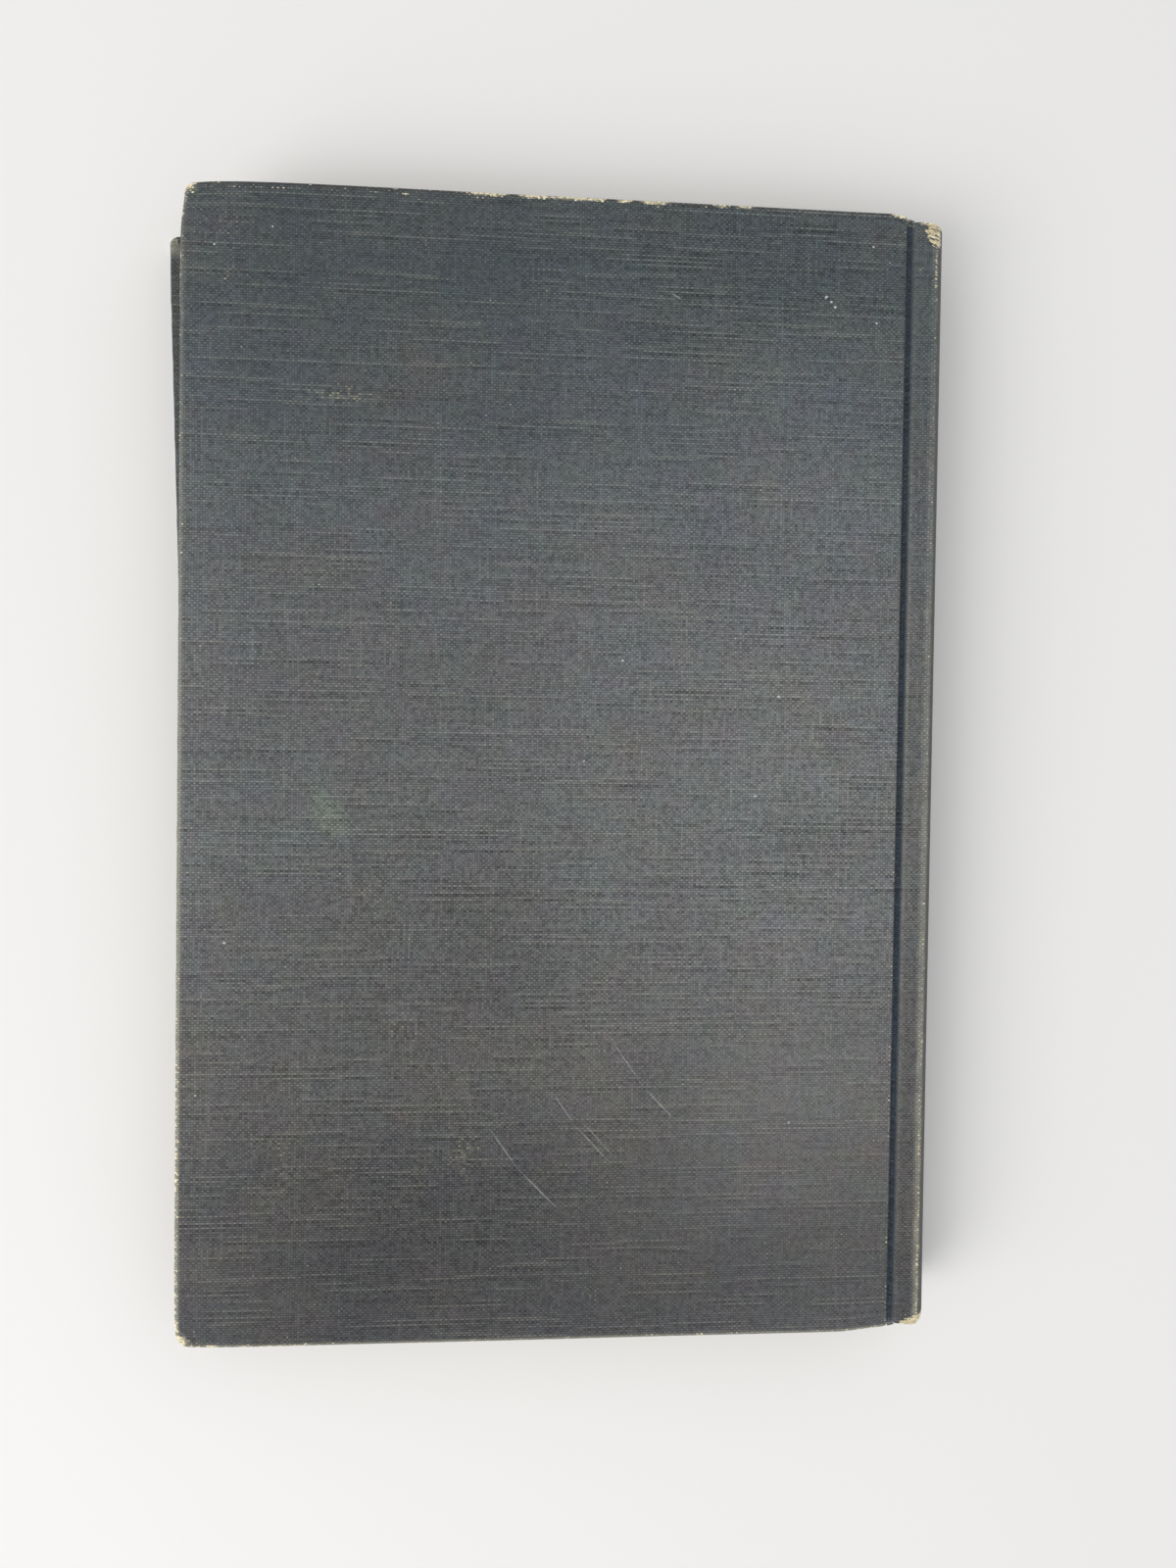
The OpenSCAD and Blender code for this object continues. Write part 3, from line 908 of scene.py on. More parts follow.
    def worn(self, nodes: Nodes, weave: Weave, colour: Any) -> Any:
        """Rubs the dye pale where the cloth is polished and where a painted highlight lies, and bares the
        threads where it is worn.

        Args:
            nodes: The finish's nodes.
            weave: The woven pattern.
            colour: The colour underneath.

        Returns:
            The colour with the worn places on it.
        """
        wear = nodes.attribute("wear")
        patch = nodes.noise(weave.uv, 1300.0, 3.0)
        ends = nodes.add("ShaderNodeCombineXYZ", {0: nodes.times(weave.across, 0.3), 1: weave.along})
        comb = nodes.noise(ends, 1500.0, 1.0)
        polish = nodes.plus(wear, nodes.centred(weave.crossing), 0.15)
        polish = nodes.plus(polish, nodes.centred(comb), 0.5)
        # The polish attribute: rubbed pale, and a painted highlight along the fore edge and the groove's lip.
        stripe = nodes.times(nodes.attribute("polish"), nodes.plus(0.4, comb, 1.2))
        polished = nodes.times(nodes.between(polish, 0.34, 0.66), 0.75)
        polished = nodes.number("MAXIMUM", polished, stripe, clamp=True)
        pale_rub = nodes.scaled(linear(self.rubbed)[:3], nodes.plus(0.62, weave.height, 0.7))
        colour = nodes.blended(polished, colour, pale_rub)
        rub = nodes.plus(wear, nodes.centred(patch), 0.9)
        rub = nodes.plus(rub, nodes.centred(comb), 1.1)
        rub = nodes.plus(rub, nodes.centred(weave.height), 0.45)
        rub = nodes.plus(rub, nodes.centred(weave.crossing), 0.25)
        bare_share = nodes.plus(-1.30, patch, 4.2, clamp=True)
        bare = nodes.blended(bare_share, linear(self.raw_dark), linear(self.raw_thread))
        return nodes.blended(nodes.between(rub, 0.54, 0.76), colour, bare)

    def build(self, name: str) -> bpy.types.Material:
        """Builds the material.

        Args:
            name: The material's name.

        Returns:
            The material, which reads the UV map "sheet" and the attributes "wear", "fade",
            "soil", "polish" and "calm".
        """
        material, nodes = new_material(name)
        weave = self.woven(nodes)
        colour = self.toned(nodes, weave, self.dyed(nodes, weave))
        colour = self.worn(nodes, weave, self.scuffed(nodes, weave, colour))
        relief = nodes.plus(weave.height, weave.pale_thread, 0.35)
        bump = nodes.add("ShaderNodeBump", {"Strength": 0.6, "Distance": 0.07 * MM, "Height": relief})
        nodes.output(nodes.add("ShaderNodeBsdfPrincipled", {
            "Base Color": colour, "Roughness": self.roughness, "Specular IOR Level": 0.25,
            "Sheen Weight": 0.12, "Sheen Roughness": 0.6, "Normal": bump,
        }))
        return material


@dataclass(frozen=True)
class SheetPlace:
    """Where an endpaper lies: its fore edge at mid-height in metres, its turn and half its height."""

    corner: Vector
    turn_deg: float
    half_h: float


@dataclass(frozen=True)
class PlainPaper:
    """Uncoated wove paper or board, aged: matt, faintly fibrous, foxed and browned at its edges."""

    tone: str
    browned: str
    mottle: float = 0.5
    layered: float = 0.0
    foxed: float = 0.0
    sheet: SheetPlace | None = None
    browning_w: float = 13.0
    browning_drift: float = 14.0
    fox_scale: float = 150.0
    rarest_fox: float = 0.80

    def browning(self, nodes: Nodes, place: Any, stain: Any) -> Any:
        """Is 1 at the sheet's edges and 0 within, with an uneven front.

        Args:
            nodes: The finish's nodes.
            place: Place on the object.
            stain: Cloudy noise that moves the front.

        Returns:
            How brown the paper is.
        """
        local = nodes.add("ShaderNodeMapping", {
            "Vector": place, "Location": self.sheet.corner,
            "Rotation": (0.0, 0.0, math.radians(self.sheet.turn_deg)),
        }, vector_type="TEXTURE")
        parts = nodes.split(local)
        from_end = nodes.number("SUBTRACT", self.sheet.half_h, nodes.number("ABSOLUTE", parts.outputs[1]))
        from_edge = nodes.number("MINIMUM", from_end, parts.outputs[0])
        from_edge = nodes.plus(from_edge, nodes.centred(stain), self.browning_drift * MM)
        browning = nodes.between(from_edge, 0.0, self.browning_w * MM, 1.0, 0.0)
        return nodes.times(browning, browning)

    def fox_spots(self, nodes: Nodes, place: Any) -> Any:
        """Rare brown spots of different sizes.

        Args:
            nodes: The finish's nodes.
            place: Place on the object.

        Returns:
            How brown the spots make the paper.
        """
        spots = nodes.add("ShaderNodeTexVoronoi", {"Vector": place, "Scale": self.fox_scale})
        chance = nodes.split(spots.outputs["Color"])
        rare = nodes.between(chance.outputs[0], self.rarest_fox, 1.0)
        size = nodes.plus(0.06, chance.outputs[1], 0.22)
        reach = nodes.number("DIVIDE", spots.outputs["Distance"], size)
        return nodes.times(nodes.between(reach, 1.0, 0.2), rare)

    def build(self, name: str) -> bpy.types.Material:
        """Builds the material.

        Args:
            name: The material's name.

        Returns:
            The material, on Object coordinates and the attribute "leaf".
        """
        material, nodes = new_material(name)
        place = nodes.add("ShaderNodeTexCoord").outputs["Object"]
        fibre = nodes.noise(place, 2500.0, 3.0, 0.5)
        stain = nodes.noise(place, 22.0, 5.0, 0.7)
        share = nodes.between(stain, 0.42, 0.85, 0.0, self.mottle)
        if self.sheet:
            share = nodes.plus(share, self.browning(nodes, place, stain), 0.75, clamp=True)
        if self.foxed:
            share = nodes.plus(share, self.fox_spots(nodes, place), self.foxed, clamp=True)
        colour = nodes.blended(share, linear(self.tone), linear(self.browned))
        # Lighter and darker by the leaf attribute: random leaf tones, and painted shade on recessed sections
        # and across a band's windings.
        leaf_light = nodes.between(nodes.attribute("leaf"), 0.0, 1.0, 1.0 + self.layered, 1.0 - self.layered)
        light = nodes.times(nodes.between(fibre, 0.3, 0.7, 0.93, 1.05), leaf_light)
        bump = nodes.add("ShaderNodeBump", {"Strength": 0.25, "Distance": 0.03 * MM, "Height": fibre})
        nodes.output(nodes.add("ShaderNodeBsdfPrincipled", {
            "Base Color": nodes.scaled(colour, light), "Roughness": 0.88,
            "Specular IOR Level": 0.2, "Normal": bump,
        }))
        return material


@dataclass(frozen=True)
class WornEdges:
    """Where the cloth of one cover is rubbed, in millimetres from the fore edge and mid-height."""

    head_rubs: tuple[tuple[float, float], ...] = ()
    tail_rubs: tuple[tuple[float, float], ...] = ()
    fore_rub: tuple[float, float] = (-111.0, -60.0)
    fore_cracks: tuple[tuple[float, float, float], ...] = ()
    head_corner: float = 1.0
    tail_corner: float = 1.0
    inner_corner: float = 0.0
    inner_from_fore: float = 2.6
    stitch_in: float = 1.1


@dataclass
class CoverCloth:
    """Cloth of one cover: folded round the board and turned in, with rubbed corners and edges."""

    form: BookForm
    side: Side
    wear: WornEdges
    material: bpy.types.Material

    def edge_path(self, m: Array, corner_r: Array) -> tuple[Array, Array]:
        """Follows the cloth over the edge of a board.

        Args:
            m: Distance along the cloth, outwards from a corner's centre line.
            corner_r: Radius of the corner that the distance counts from.

        Returns:
            Distance outwards from that line, and level.
        """
        form = self.form
        r = form.edge_r
        quarter = r * math.pi / 2
        wall = form.book_t - form.under_z - 2 * r
        flat = corner_r - r
        over = np.clip((m - flat) / r, 0, math.pi / 2)
        down = np.clip(m - flat - quarter, 0, wall)
        under = np.clip((m - flat - quarter - wall) / r, 0, math.pi / 2)
        back = np.maximum(m - flat - 2 * quarter - wall, 0)
        out = np.minimum(m, flat) + r * np.sin(over) - r * (1 - np.cos(under)) - back
        z = form.book_t - r * (1 - np.cos(over)) - down - r * np.sin(under)
        return out, z

    def folded(self, flat: Array) -> Array:
        """Folds the flat sheet round the board of the back cover.

        Args:
            flat: The flat sheet's points.

        Returns:
            Points of the back cover's cloth.
        """
        form = self.form
        u, v = flat[:, 0], flat[:, 1]
        fore_half = u < (form.fore_x - form.wall_x) / 2
        fore_r = np.where(v > 0, form.head_corner_r, form.tail_corner_r)
        corner_r = np.where(fore_half, fore_r, form.edge_r)
        low_x, high_x = form.fore_x + corner_r, -form.wall_x - corner_r
        side_y = form.cover_h / 2 - corner_r
        base_x = np.where(fore_half, np.maximum(u, low_x), np.minimum(u, high_x))
        base_y = np.clip(v, -side_y, side_y)
        dx, dy = u - base_x, v - base_y
        m = np.maximum(np.abs(dx), np.abs(dy))
        length = np.maximum(np.hypot(dx, dy), 1e-9)
        out, z = self.edge_path(m, corner_r)
        out = np.where((np.abs(dx) > 0) & (np.abs(dy) > 0), np.maximum(out, 0), out)
        x, y = base_x + dx / length * out, base_y + dy / length * out
        under = z < form.under_z + 0.01
        from_fore = x - form.fore_x
        reach_y = form.cover_h / 2 - from_fore
        in_fore_strip = under & (np.abs(dy) < 1e-9) & fore_half
        y = np.where(in_fore_strip, np.clip(y, -reach_y, reach_y), y)
        in_end_strip = under & (np.abs(dx) < 1e-9)
        x = np.where(in_end_strip, np.maximum(x, form.fore_x + form.cover_h / 2 - np.abs(y)), x)
        return np.column_stack([x, y, z])

    def wear_of(self, flat: Array) -> Array:
        """How far the cloth is worn at each point of the flat sheet, from 0 to 1.

        Args:
            flat: The flat sheet's points.

        Returns:
            The wear: rubs along the edges, at the corners and at the groove's lip.
        """
        form, wear = self.form, self.wear
        u, v = flat[:, 0] - form.fore_x, flat[:, 1]
        half = form.cover_h / 2
        from_head, from_tail = half - v, half + v
        from_lip = u + form.fore_x + form.wall_x
        bend = form.edge_r * 0.25
        head = np.full(len(u), 0.26)
        for start, end in wear.head_rubs:
            head = np.maximum(head, 0.95 * bump_at(u, start, end, 0.8))
        tail = np.full(len(u), 0.40)
        for start, end in wear.tail_rubs:
            tail = np.maximum(tail, 0.66 * bump_at(u, start, end, 4.0))
        fore = 0.24 + 0.36 * bump_at(v, *wear.fore_rub, 35.0) + 0.30 * smooth((14 - from_head) / 10)
        crack = np.zeros(len(u))
        for start, end, strength in wear.fore_cracks:
            crack = np.maximum(crack, strength * bump_at(v, start, end, 0.8) * bell(u + 0.1, 0.3))
        stitches = 0.37 * bell(from_head - wear.stitch_in, 0.35) * smooth((75 - u) / 40) * smooth(u / 2)
        inner = wear.inner_corner * bell(u + wear.inner_from_fore, 1.7)
        inner = inner * smooth((4.2 - from_head + 0.5 * u) / 0.8)
        lip = np.interp(v, (-111, -60, 20, 111), (0.38, 0.33, 0.24, 0.12)) * bell(from_lip + 0.3, 0.45)
        lip += 0.85 * bell(np.hypot(from_lip, from_head), 1.0)
        return np.maximum.reduce([
            fore * bell(u - bend, 0.75), head * bell(from_head - bend - 0.1, 0.65),
            tail * bell(from_tail - bend, 0.55), wear.head_corner * bell(np.hypot(u, from_head), 2.6),
            wear.tail_corner * bell(np.hypot(u, from_tail), 3.4), lip, stitches, inner, crack,
        ])

    def polish_and_highlight_of(self, flat: Array) -> Array:
        """How far the dye is rubbed pale along the fore edge and the tail, from 0 to 1; along the fore edge
        this is also a painted highlight, strongest towards the tail.

        Args:
            flat: The flat sheet's points.

        Returns:
            The polish and painted highlight.
        """
        half = self.form.cover_h / 2
        u, v = flat[:, 0] - self.form.fore_x, flat[:, 1]
        # Rubbing and painted highlight: a pale line along the rounded fore edge, brightest towards the tail,
        # where the light falls on it.
        fore = np.interp(v, (-111, -60, 0, 60, 111), (0.95, 0.90, 0.75, 0.35, 0.20)) * bell(u - 0.45, 0.4)
        tail = 0.6 * bell(half + v - 0.3, 0.35)
        inner = 1.4 * self.wear.inner_corner * bell(u + self.wear.inner_from_fore, 2.0)
        return np.maximum.reduce([fore, tail, inner * smooth((v - half + 4.2) / 1.5)])

    def soil_and_shade_of(self, flat: Array) -> Array:
        """How dark the cloth is drawn at each point of the flat sheet, from 0 to 1: painted shade.

        Args:
            flat: The flat sheet's points.

        Returns:
            The painted shade.
        """
        form = self.form
        u, v = flat[:, 0] - form.fore_x, np.abs(flat[:, 1]) - form.cover_h / 2
        # Painted shade: a dark line along the head and tail edges, and the turn-ins drawn dark where they lie
        # in shade.
        head_edge = 0.85 * bell(v + 0.15, 0.40) * (flat[:, 1] > 0)
        tail_edge = 0.45 * bell(v + 0.10, 0.35) * (flat[:, 1] < 0)
        darkening = 0.75 if self.side is Side.BACK else 0.20
        turned_in = darkening * smooth((-u - 0.3) / 1.5) + 0.60 * smooth((v - 0.3) / 1.5)
        return np.minimum(np.maximum.reduce([head_edge, tail_edge, turned_in]), 1)

    def laid_out(self) -> bpy.types.Object:
        """The flat sheet, with fine lines where it folds and wears, and without its mitred corners."""
        form = self.form
        r = form.edge_r
        wrap = r * math.pi + (form.book_t - form.under_z - 2 * r) + form.turn_in - 2 * r
        wall_end = r * math.pi / 2 + (form.board_t + form.cloth_t - r) - r
        fore, half, wall = form.fore_x, form.cover_h / 2, -form.wall_x
        edge_steps = (-1.0 * wrap, -3.6, 6), (-3.6, -2.2, 3), (-2.2, 3.2, 18), (3.2, 8.0, 3)
        us = stations(
            *[(fore + a, fore + b, n) for a, b, n in edge_steps],
            (fore + 8.0, wall - 4.0, 54), (wall - 4.0, wall - 1.0, 4), (wall - 1.0, wall + wall_end, 14),
        )
        tail = [(-half + a, -half + b, n) for a, b, n in edge_steps]
        head = [(half - b, half - a, n) for a, b, n in reversed(edge_steps)]
        vs = stations(*tail, (-half + 8.0, half - 8.0, 84), *head)
        piece = flat_sheet(f"{self.side.value}_cover_cloth", us, vs)
        flat = coordinates(piece)
        in_groove = smooth((flat[:, 0] - wall - 0.35) / 0.8)
        set_attribute(piece, "wear", self.wear_of(flat) * (1 - 0.8 * in_groove))
        set_attribute(piece, "fade", 1 - 0.95 * in_groove)
        set_attribute(piece, "soil_and_shade", self.soil_and_shade_of(flat))
        # The polish attribute also holds a painted highlight along the fore edge.
        set_attribute(piece, "polish", self.polish_and_highlight_of(flat))
        drop_faces(piece, lambda centre: (np.abs(centre[:, 1]) > half + 3.2)
                   & ((centre[:, 0] < fore - 3.2) | (centre[:, 0] > wall + 1.2)))
        return piece

    def build(self) -> bpy.types.Object:
        """Makes the cover's cloth and lets it ride on the cover.

        Returns:
            The finished piece, which replaces the cover's plain cloth.
        """
        form = self.form
        piece = self.laid_out()
        points = self.folded(coordinates(piece))
        edge_wave = 0.05 * np.sin(points[:, 1] * 0.9) * np.sin(points[:, 1] * 0.23 + 1.1)
        points[:, 0] += edge_wave * bell(points[:, 0] - form.fore_x, 1.5)
        points[:, 2] += 0.04 * np.sin(points[:, 0] * 0.11 + 0.6) * np.sin(points[:, 1] * 0.067)
        points[:, 2] = np.minimum(points[:, 2], form.book_t)
        set_coordinates(piece, form.placed(form.to_side(form.worn(points, self.side), self.side)))
        weld(piece, 0.004 * MM)
        thicken(piece, 0.95 * form.cloth_t, self.side)
        finish(piece, self.material, 40)
        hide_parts(f"{self.side.value}_cloth")
        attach(piece, self.side.body)
        return piece


def tube(form: BookForm, name: str, path: Array, radii: Array, around: int) -> bpy.types.Object:
    """Makes a round strand along a path, pinched shut at both ends.

    Args:
        form: The book's form.
        name: The strand's name.
        path: Points in the book's frame, in millimetres.
        radii: Radius at each point.
        around: Number of faces round the strand.

    Returns:
        The strand, cocked with the book.
    """
    last = len(path) - 1
    piece = flat_sheet(name, list(range(around + 1)), list(range(last + 1)))
    flat = coordinates(piece)
    step = np.rint(flat[:, 1]).astype(int)
    angle = flat[:, 0] / around * 2 * math.pi
    along = np.gradient(path, axis=0)
    along /= np.linalg.norm(along, axis=1)[:, None]
    side = np.cross(along, (0.3, 0.2, 1.0))
    side /= np.linalg.norm(side, axis=1)[:, None]
    up = np.cross(side, along)
    thin = np.where((step == 0) | (step == last), 0.0, radii[step])[:, None]
    ring = np.cos(angle)[:, None] * side[step] + np.sin(angle)[:, None] * up[step]
    set_coordinates(piece, form.placed(form.leaned(path[step] + thin * ring)))
    weld(piece, 0.002 * MM)
    make_active(piece)
    bpy.ops.object.mode_set(mode="EDIT")
    bpy.ops.mesh.select_all(action="SELECT")
    bpy.ops.mesh.normals_make_consistent(inside=False)
    bpy.ops.object.mode_set(mode="OBJECT")
    return piece


@dataclass
class CoverBoard:
    """Binder's board of one cover, under its cloth."""

    form: BookForm
    side: Side
    material: bpy.types.Material
    fit: float = 0.45

    def build(self) -> bpy.types.Object:
        """Makes the board and lets it ride on the cover.

        Returns:
            The finished piece, which replaces the plain board.
        """
        form = self.form
        low_x, high_x = form.fore_x + self.fit, -form.wall_x - self.fit
        half = form.cover_h / 2 - self.fit
        us = stations((low_x, low_x + 4, 10), (low_x + 4, high_x - 10, 12), (high_x - 10, high_x, 5))
        vs = stations((-half, -half + 4, 10), (-half + 4, half - 4, 20), (half - 4, half, 10))
        piece = flat_sheet(f"{self.side.value}_cover_board", us, vs)
        x, y, _ = coordinates(piece).T
        r = np.where(y > 0, form.head_corner_r, form.tail_corner_r) - form.cloth_t
        dx, dy = np.minimum(x - low_x - r, 0), np.maximum(np.abs(y) - half + r, 0)
        squeeze = np.maximum(np.abs(dx), dy) / np.maximum(np.hypot(dx, dy), 1e-9)
        squeeze = np.where((dx < 0) & (dy > 0), squeeze, 1.0)
        points = np.column_stack([
            x + dx * (squeeze - 1),
            y + np.sign(y) * dy * (squeeze - 1),
            np.full(len(x), form.book_t - self.fit),
        ])
        set_coordinates(piece, form.placed(form.to_side(form.worn(points, self.side), self.side)))
        thicken(piece, form.board_t - 2 * form.glue_t, self.side)
        finish(piece, self.material, 30)
        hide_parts(f"{self.side.value}_board")
        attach(piece, self.side.body)
        return piece


@dataclass
class EndBand:
    """Head or tail band: cotton thread wound side by side over a core, along the pages' back."""

    form: BookForm
    end: End
    material: bpy.types.Material
    winding: float = 0.55
    steps: int = 6

    def build(self) -> bpy.types.Object:
        """Makes the band and lets it ride on the pages.

        Returns:
            The finished piece, which replaces the plain band.
        """
        form = self.form
        r = form.band_d / 2
        page_r = form.back_r - form.page_d
        span = math.asin(form.pages_t / 2 / page_r)
        windings = round(2 * span * (page_r - r) / self.winding)
        turns = np.linspace(0, windings, windings * self.steps + 1)
        angle = span * (1 - 2 * turns / windings)
        y = self.end.value * (form.page_h / 2 + r + form.glue_t)
        path = np.column_stack([
            form.arc_x + (page_r - r) * np.cos(angle),
            np.full(len(angle), y),
            form.half_t + (page_r - r) * np.sin(angle),
        ])
        radii = r * (0.82 + 0.18 * np.sqrt(np.abs(np.sin(math.pi * turns))))
        piece = tube(form, f"{self.end.name.lower()}_band", path, radii, 14)
        # Painted shade: light and dark stripes across the windings.
        heights = coordinates(piece)[:, 2] / MM
        set_attribute(piece, "leaf", 0.5 + 0.5 * np.sin(heights * math.pi / (1.5 * self.winding)))
        finish(piece, self.material, 50)
        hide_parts("headband" if self.end is End.HEAD else "tailband")
        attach(piece, "text_block")
        return piece


@dataclass
class FrayedThreads:
    """Broken ends of threads that stand out of the worn ends of the spine's cloth."""

    form: BookForm
    radius: float = 0.075
    head_count: int = 33
    head_depth: float = 4.6
    tail_count: int = 34
    past_ridge: float = 0.5
    fall: float = 0.8
    seed: int = 11

    def thread(self, xs: Array, ys: Array, zs: Array) -> bpy.types.Object:
        """Makes one thread, worn bare all over, which falls away past the ridge.

        Args:
            xs: Its places across the book, in millimetres.
            ys: Its places along the book.
            zs: Its levels before it falls away.

        Returns:
            The thread.
        """
        path = np.column_stack([xs, ys, zs - np.maximum(xs - self.form.ridge_x, 0) * self.fall])
        piece = tube(self.form, "thread", path, np.full(len(path), self.radius), 5)
        set_attribute(piece, "wear", np.full(len(piece.data.vertices), 1.4))
        return piece

    def head_thread(self, rng: np.random.Generator, t: Array) -> bpy.types.Object:
        """One thread that lies across the ridge at the head, from near it inwards.

        Args:
            rng: Source of the differences between threads.
            t: Places along the thread, from 0 to 1.

        Returns:
            The thread.
        """
        form = self.form
        half = form.cover_h / 2
        y = half - form.cap_dip - 0.1 - rng.random() ** 1.2 * self.head_depth
        x = form.ridge_x + 0.35 - rng.random() * 1.2
        x -= max(0.0, rng.random() - 0.3) * 2.2 * max(0.0, 1 - (half - y) / 7)
        length, turn = 0.6 + 1.1 * rng.random(), rng.normal(0, 0.4)
        xs = x - length * t * math.cos(turn)
        ys = y + length * t * math.sin(turn) + 0.25 * rng.normal() * t * t
        return self.thread(xs, ys, form.book_t - 0.02 + 0.22 * rng.random() * np.sin(math.pi * t))

    def tail_thread(self, rng: np.random.Generator, t: Array) -> bpy.types.Object:
        """One thread that lies along the worn edge at the tail and ends at the ridge.

        Args:
            rng: Source of the differences between threads.
            t: Places along the thread, from 0 to 1.

        Returns:
            The thread.
        """
        form = self.form
        x = 1.4 + rng.random() * 3.0
        y = form.cap_dip - form.cover_h / 2 + 0.30 * min(rng.normal() ** 2, 1.4) - 0.12
        length = 1.2 + 1.6 * rng.random()
        xs = np.minimum(x + length * t, form.ridge_x + self.past_ridge)
        ys = y + 0.20 * np.sin(math.pi * t * (1 + rng.random()))
        ys = ys + 0.5 * np.maximum(xs - form.ridge_x + 0.6, 0)
        return self.thread(xs, ys, form.book_t - 0.05 + 0.15 * rng.random() * np.sin(math.pi * t))

    def build(self) -> list[bpy.types.Object]:
        """Makes the threads of both ends.

        Returns:
            The threads, each a piece of its own.
        """
        rng = np.random.default_rng(self.seed)
        t = np.linspace(0, 1, 7)
        made = [self.head_thread(rng, t) for _ in range(self.head_count)]
        return made + [self.tail_thread(rng, t) for _ in range(self.tail_count)]


@dataclass(frozen=True)
class SpinePlaces:
    """Where each point of the spine's flat cloth lies, in millimetres.

    The ends are the covers' ends, inside counts from the ridge's outer edge towards the groove,
    and the last two count along the cloth from the feet of the two shoulders' walls.
    """

    from_head: Array
    from_tail: Array
    inside: Array
    up_back_wall: Array
    up_front_wall: Array


